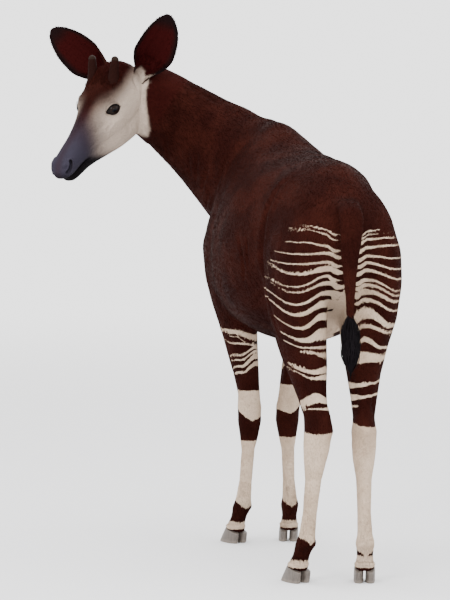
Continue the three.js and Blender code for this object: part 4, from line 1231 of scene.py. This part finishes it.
hoof_finish, start, shader = new_finish("horn", Specular_IOR_Level=0.45)
at = start.node("TexCoord", out="Object")
streaks = at.noise(1.0, 3.0, (420, 420, 40))
worn = 1 - (at.part(2) + at.noise(60.0) * 0.01).within(0.008, 0.02)
wall_colour = streaks.ramp((0.3, (0.05, 0.041, 0.035)), (0.7, (0.125, 0.102, 0.085)))
wall_colour.mixed(worn * 0.6, (0.20, 0.165, 0.135, 1)).to(shader, "Base Color")
(0.38 + streaks * 0.2 + worn * 0.2).to(shader, "Roughness")
streaks.bump(shader, 0.4, 0.0006)
for node in HOOF_NODES:
    make_hoof(node).data.materials.append(hoof_finish)

# The coat: short flat tufts of hair over the whole hide, rooted in it and laid along the body,
# with longer ones where the coat breaks the form. Each is a thin three-sided blade.
chances = np.random.default_rng(7)
corners = np.empty(len(skin.data.loops), np.int32)
skin.data.loops.foreach_get("vertex_index", corners)
corners = corners.reshape(-1, 3)
unwrap = np.empty(len(skin.data.loops) * 2, np.float32)
skin.data.uv_layers["OFBake"].data.foreach_get("uv", unwrap)
unwrap = unwrap.reshape(-1, 3, 2)
hide_points, hide_normals = points_of(skin), normals_of(skin)
fields = {"root": hide_points, "normal": hide_normals, "marks": kept(skin, "marks", 4),
          "lie": kept(skin, "lie", 3), "ear": ear, "zone": zone[:, None]}
areas = np.linalg.norm(np.cross(hide_points[corners[:, 1]] - hide_points[corners[:, 0]],
                                hide_points[corners[:, 2]] - hide_points[corners[:, 0]]), axis=1) / 2


def roots_on(density):
    """Roots strewn over the hide, so many to each square metre of each triangle."""
    ends = np.cumsum(areas * density)
    chosen = np.searchsorted(ends, chances.random(int(ends[-1])) * ends[-1])
    a, b = chances.random((2, len(chosen)))
    a, b = np.where(a + b > 1, 1 - a, a), np.where(a + b > 1, 1 - b, b)
    weights = np.stack([1 - a - b, a, b], axis=1)[:, :, None]
    found = {name: (field[corners[chosen]] * weights).sum(1) for name, field in fields.items()}
    found["unwrap"] = (unwrap[chosen] * weights).sum(1)
    found["stripe"] = stripes_at(plan(found["root"]), found["zone"][:, 0])
    found["lie"] = laid_flat(found["lie"], found["normal"])
    found["chance"] = chances.random(len(chosen))
    return found


def blades(name, roots, lines, halves, heights):
    """One mesh of three-sided blades along lines of a few places each, which end in points."""
    count, rows = lines.shape[:2]
    along = np.gradient(lines, axis=1)
    along /= np.maximum(np.linalg.norm(along, axis=2), 1e-9)[..., None]
    across = np.cross(roots["normal"][:, None], along)[:, :-1]
    across /= np.maximum(np.linalg.norm(across, axis=2), 1e-9)[..., None]
    out = np.cross(along[:, :-1], across)
    middle = lines[:, :-1]
    rings = np.stack([middle - across * halves[..., None], middle + across * halves[..., None],
                      middle + out * heights[..., None]], axis=2)
    points = np.concatenate([rings.reshape(count, -1, 3), lines[:, -1:]], axis=1)
    each, tip = points.shape[1], points.shape[1] - 1
    faces = [(0, 2, 1)]
    for row in range(rows - 2):
        for i, j in ((0, 1), (1, 2), (2, 0)):
            first, second = row * 3 + i, row * 3 + j
            faces += [(first, second, second + 3), (first, second + 3, first + 3)]
    last = (rows - 2) * 3
    faces += [(last, last + 1, tip), (last + 1, last + 2, tip), (last + 2, last, tip)]
    faces = (np.array(faces)[None] + (np.arange(count) * each)[:, None, None]).reshape(-1, 3)
    mesh = bpy.data.meshes.new(name)
    mesh.vertices.add(count * each)
    mesh.vertices.foreach_set("co", points.astype(np.float32).ravel())
    mesh.loops.add(faces.size)
    mesh.loops.foreach_set("vertex_index", faces.astype(np.int32).ravel())
    mesh.polygons.add(len(faces))
    mesh.polygons.foreach_set("loop_start", np.arange(0, faces.size, 3, dtype=np.int32))
    mesh.update(calc_edges=True)
    piece = bpy.data.objects.new(name, mesh)
    bpy.context.scene.collection.objects.link(piece)
    level = np.append(np.repeat(np.linspace(0, 1, rows)[:-1], 3), 1.0)
    beside = np.append(np.tile([-1.0, 1.0, 0.0], rows - 1), 0.0)
    patch = np.stack([beside, level * 2 - 1], axis=1) * 0.0015
    places = (roots["unwrap"][:, None] + patch[None]).reshape(-1, 2)
    at_corners = places[faces.ravel()].astype(np.float32).ravel()
    mesh.uv_layers.new(name="OFBake").data.foreach_set("uv", at_corners)
    for kind in ("root", "stripe", "marks", "lie"):
        give(piece, kind, np.repeat(roots[kind], each, axis=0))
    chance = np.repeat(roots["chance"], each)
    give(piece, "tuft", np.stack([np.tile(level, count), chance, 0 * chance], axis=1))
    rounded = [False] + [False, False, True, True, True, True] * (rows - 2) + [False, True, True]
    mesh.polygons.foreach_set("use_smooth", np.tile(rounded, count))
    mesh.materials.append(coat)
    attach(piece, "root")
    return piece


TUFT_SUNK = 0.0002
PIECE_MOST = 190000  # triangles


def lay_tufts(name, roots, long, wide, lift, rows=2, stray=0.2):
    """Tufts along the hide's own lie, with lengths and widths in millimetres for each root."""
    count = len(roots["chance"])
    turn = chances.normal(0, stray, count)[:, None]
    ways = roots["lie"] * np.cos(turn) + np.cross(roots["normal"], roots["lie"]) * np.sin(turn)
    long = long * chances.uniform(0.75, 1.25, count) / 1000
    wide = wide * chances.uniform(0.8, 1.2, count) / 2000
    lift = lift * chances.uniform(0.6, 1.4, count)
    at = np.linspace(0, 1, rows)
    height = (long * lift)[:, None] * at ** 1.2 - TUFT_SUNK * (1 - at)
    ahead = long[:, None] * (at - 0.4)
    lines = (roots["root"][:, None] + ways[:, None] * ahead[..., None]
             + roots["normal"][:, None] * height[..., None])
    shape = np.interp(at[:-1], [0, 0.45, 1], [0.9, 1, 0.55])
    halves = wide[:, None] * shape
    thick = np.minimum(wide * 0.6, 0.0006)[:, None] * shape
    order = np.argsort(roots["root"][:, 1])
    parts = np.array_split(order, max(1, math.ceil(count * (6 * rows - 8) / PIECE_MOST)))
    for number, chosen in enumerate(parts, 1):
        label = name if len(parts) == 1 else f"{name}_{number}"
        own = {kind: field[chosen] for kind, field in roots.items()}
        blades(label, own, lines[chosen], halves[chosen], thick[chosen])


middles = hide_points[corners].mean(1)
m = plan(middles)
of_zone = zone[corners].max(1)
facing = hide_normals[corners].mean(1)
under_foot = (facing[:, 2] < -0.5) & (m[:, 2] < 80)
on_body = of_zone < 0.02
on_leg = np.clip((880 - m[:, 2]) / 120, 0, 1) * (np.abs(m[:, 1]) > 250) * on_body
on_thigh = soft(m[:, 1], 250, 330) * soft(1260 - m[:, 2], 0, 40) * (1 - on_leg) * on_body
on_head = soft(of_zone, 0.4, 0.7) * (of_zone < 1.5)
on_barrel = np.clip(1 - on_leg - on_thigh - on_head, 0, 1) * (of_zone < 1.5)
h = to_head(middles)
bare = (-h[:, 1] > 350) & (np.abs(off_mouth(h)) < 3.5) & (of_zone > 0.9)
bare |= (of_zone > 3.5) | under_foot
for s in (1, -1):
    slit, _ = off_line(h * (s, 1, 1), NOSTRIL_LINE)
    bare |= (off_lids(h, s) < 2.5) | ((slit < 9) & (of_zone > 0.9))

roots = roots_on(30000 * on_barrel * ~bare)
x, y, z = plan(roots["root"]).T
ruffled = soft(-z, -880, -760) + soft(-y, 560, 660) + 0.6 * soft(roots["normal"][:, 2], 0.8, 0.97)
ruffled = np.clip(ruffled, 0, 1)
lay_tufts("coat_barrel", roots, 12 + 3 * ruffled, 3.4, 0.06 + 0.05 * ruffled)
lay_tufts("coat_thighs", roots_on(62000 * on_thigh * ~bare), 7, 2.4, 0.07)
lay_tufts("coat_legs", roots_on(80000 * on_leg * ~bare), 5.8, 2.0, 0.07)
roots = roots_on(120000 * on_head * ~bare)
nose = soft(-to_head(roots["root"])[:, 1], 300, 460)
lay_tufts("coat_head", roots, 5.2 - 2.4 * nose, 1.8 - 0.7 * nose, 0.07)
on_ear = (of_zone > 1.5) & (of_zone < 3.5)
ear_spots = ear[corners].mean(1)
inner = on_ear & (ear_spots[:, 2] > 0.5)
rims = on_ear & (np.abs(ear_spots[:, 0]) > 0.9)
lay_tufts("coat_ears", roots_on(70000 * (on_ear & ~inner) + 22000 * inner), 6.5, 1.9, 0.07)
lay_tufts("ear_fringe", roots_on(60000 * rims), 10, 1.8, 0.2, 3)
lay_tufts("ear_hair", roots_on(26000 * (inner & (ear_spots[:, 1] < 0.45))), 18, 1.4, 0.24, 4)
crown = on_head * (np.abs(h[:, 0]) < 72) * (h[:, 1] > -155) * (h[:, 1] < -30) * (h[:, 2] > 96)
lay_tufts("crown_hair", roots_on(60000 * crown), 13, 1.3, 0.36, 4, 0.4)
heel = (m[:, 2] > 84) & (m[:, 2] < 230) & (facing[:, 1] > 0.45) & (on_leg > 0.5)
lay_tufts("fetlock_hair", roots_on(26000 * heel), 11, 2.0, 0.16, 3)
fringe = (m[:, 2] > 62) & (m[:, 2] < 80) & (on_leg > 0.5)
lay_tufts("coronet_fringe", roots_on(90000 * fringe), 10, 2.0, 0.12, 3)

# The tuft of the tail: near-black locks that leave the end of the dock, belly out and hang
# together in a point. The lashes: a short row of stiff hairs over each eye.
spot_unwrap = np.zeros((len(hide_points), 2))
spot_unwrap[corners] = unwrap


def black_hairs(from_hide, normals):
    """What blades near these points of the hide keep, with no stripe on them."""
    size = (len(from_hide), 1)
    return {"root": hide_points[from_hide], "normal": normals, "lie": np.tile([0, 0, -1.0], size),
            "stripe": np.tile([0.5, 0, -MUCH], size), "marks": np.tile([0, 0, 1.0, 0], size),
            "unwrap": spot_unwrap[from_hide], "chance": chances.random(len(from_hide))}


LOCKS, LOCK_PLACES = 1500, 7
dock_line = line_through(TAIL_LINE, 101)[0]
share = 1 - 0.16 * chances.random(LOCKS) ** 1.6
start_at = dock_line[np.round(share * 100).astype(int)]
around = chances.uniform(0, 2 * np.pi, LOCKS)
out = np.stack([np.cos(around), 0.7 * np.sin(around), 0 * around], axis=1)
t = np.linspace(0, 1, LOCK_PLACES)[None, :, None]
long = chances.uniform(115, 160, LOCKS)[:, None, None] - 0.3 * (900 - start_at[:, 2])[:, None, None]
belly = 31 * np.sqrt(chances.random(LOCKS))[:, None, None]
wave = chances.normal(0, 2.5, (LOCKS, 1, 3)) * np.sin(t * 7 + chances.uniform(0, 6, (LOCKS, 1, 1)))
lines = (start_at[:, None] + out[:, None] * (belly * np.sin(np.minimum(1, t * 1.15) * np.pi) + 4 - 5 * t)
         + np.array([0, 0, -1.0]) * long * t + wave * t * (1 - t) * 3)
x, y, z = plan(hide_points).T
near = np.flatnonzero((y > 670) & (np.abs(x) < 60) & (z > 800) & (z < 1050))
off_start = np.linalg.norm(place(start_at)[:, None] - hide_points[None, near], axis=2)
locks = black_hairs(near[off_start.argmin(1)], out)
narrow = np.array([0.6, 0.9, 1, 1, 0.85, 0.6])
tail_tuft = blades("tail_tuft", locks, place(lines.reshape(-1, 3)).reshape(LOCKS, LOCK_PLACES, 3),
                   chances.uniform(1.6, 3.0, LOCKS)[:, None] / 1000 * narrow,
                   np.full((LOCKS, 1), 0.0009) * narrow)

LASHES, LASH_PLACES, LASH_LONG = 24, 5, 7.5
u = np.linspace(-0.9, 0.86, LASHES) * LID_LENGTH
v = lid_height(u)[0] + 1.2
lash_roots = np.stack([u, v, np.sqrt(np.maximum(9, (EYE_RADIUS + 3) ** 2 - u * u - v * v))], axis=1)
ways = np.stack([u / LID_LENGTH * 0.5 - 0.1, 0.25 + 0 * u, 0.85 + 0 * u], axis=1)
t = np.linspace(0, 1, LASH_PLACES)[None, :, None]
own = lash_roots[:, None] + LASH_LONG * (ways[:, None] * t + np.array([0, 0.45, -0.2]) * t * t)
thin = np.tile([1, 0.9, 0.7, 0.45], (LASHES, 1))
for side, s in (("left", 1), ("right", -1)):
    lashes = from_eye(own.reshape(-1, 3), s).reshape(LASHES, LASH_PLACES, 3)
    from_hide = np.linalg.norm(lashes[:, :1] - hide_points[None], axis=2).argmin(1)
    up = np.tile(eye_axes(s)[1] @ HEAD_AXES.T, (LASHES, 1))
    hairs = black_hairs(from_hide, up)
    blades("lashes_" + side, hairs, lashes, 0.0005 * thin, 0.0006 * thin)

# The floor and the light: a plain pale floor that fades into the pale studio behind, three large
# soft lamps, and a smaller one that the eye mirrors.
STUDIO = (1.0, 1.0, 1.0, 1)
STUDIO_LIGHT = 2.6
bpy.ops.mesh.primitive_plane_add(size=400, location=(0, 0, 0))
floor = bpy.context.view_layer.objects.active
floor.name = "floor"
floor_finish, start, shader = new_finish("floor", Roughness=0.9, Specular_IOR_Level=0.1)
shader.inputs["Base Color"].default_value = (0.74, 0.74, 0.75, 1)
glow = start.node("Emission", None, {"Color": STUDIO, "Strength": STUDIO_LIGHT})
at = start.node("TexCoord", out="Object")
away = start.node("VectorMath", {"operation": "LENGTH"}, {0: at}, "Value")
blend = start.node("MixShader", None, {0: away.within(3.0, 16.0), 2: glow})
floor_finish.node_tree.links.new(shader.outputs[0], blend.socket.node.inputs[1])
blend.to(floor_finish.node_tree.nodes["Material Output"], "Surface")
floor.data.materials.append(floor_finish)
world = bpy.data.worlds.new("studio")
bpy.context.scene.world = world
world.use_nodes = True
world.node_tree.nodes["Background"].inputs["Color"].default_value = STUDIO
world.node_tree.nodes["Background"].inputs["Strength"].default_value = STUDIO_LIGHT
LAMPS = {"key": ((5.0, 6.0, 5.5), 3.0, 440), "fill": ((-5.5, 4.0, 3.0), 4.0, 60),
         "top": ((0.5, -1.0, 6.5), 4.0, 160), "catch": ((-0.6, 3.0, 2.7), 0.8, 45)}
LAMP_AIM = Vector((0, 0, 0.9))
for name, (lamp_place, size, power) in LAMPS.items():
    lamp = bpy.data.lights.new(name, "AREA")
    lamp.size, lamp.energy = size, power
    holder = bpy.data.objects.new(name, lamp)
    bpy.context.scene.collection.objects.link(holder)
    holder.location = lamp_place
    holder.rotation_mode = "QUATERNION"
    holder.rotation_quaternion = (LAMP_AIM - Vector(lamp_place)).to_track_quat("-Z", "Y")
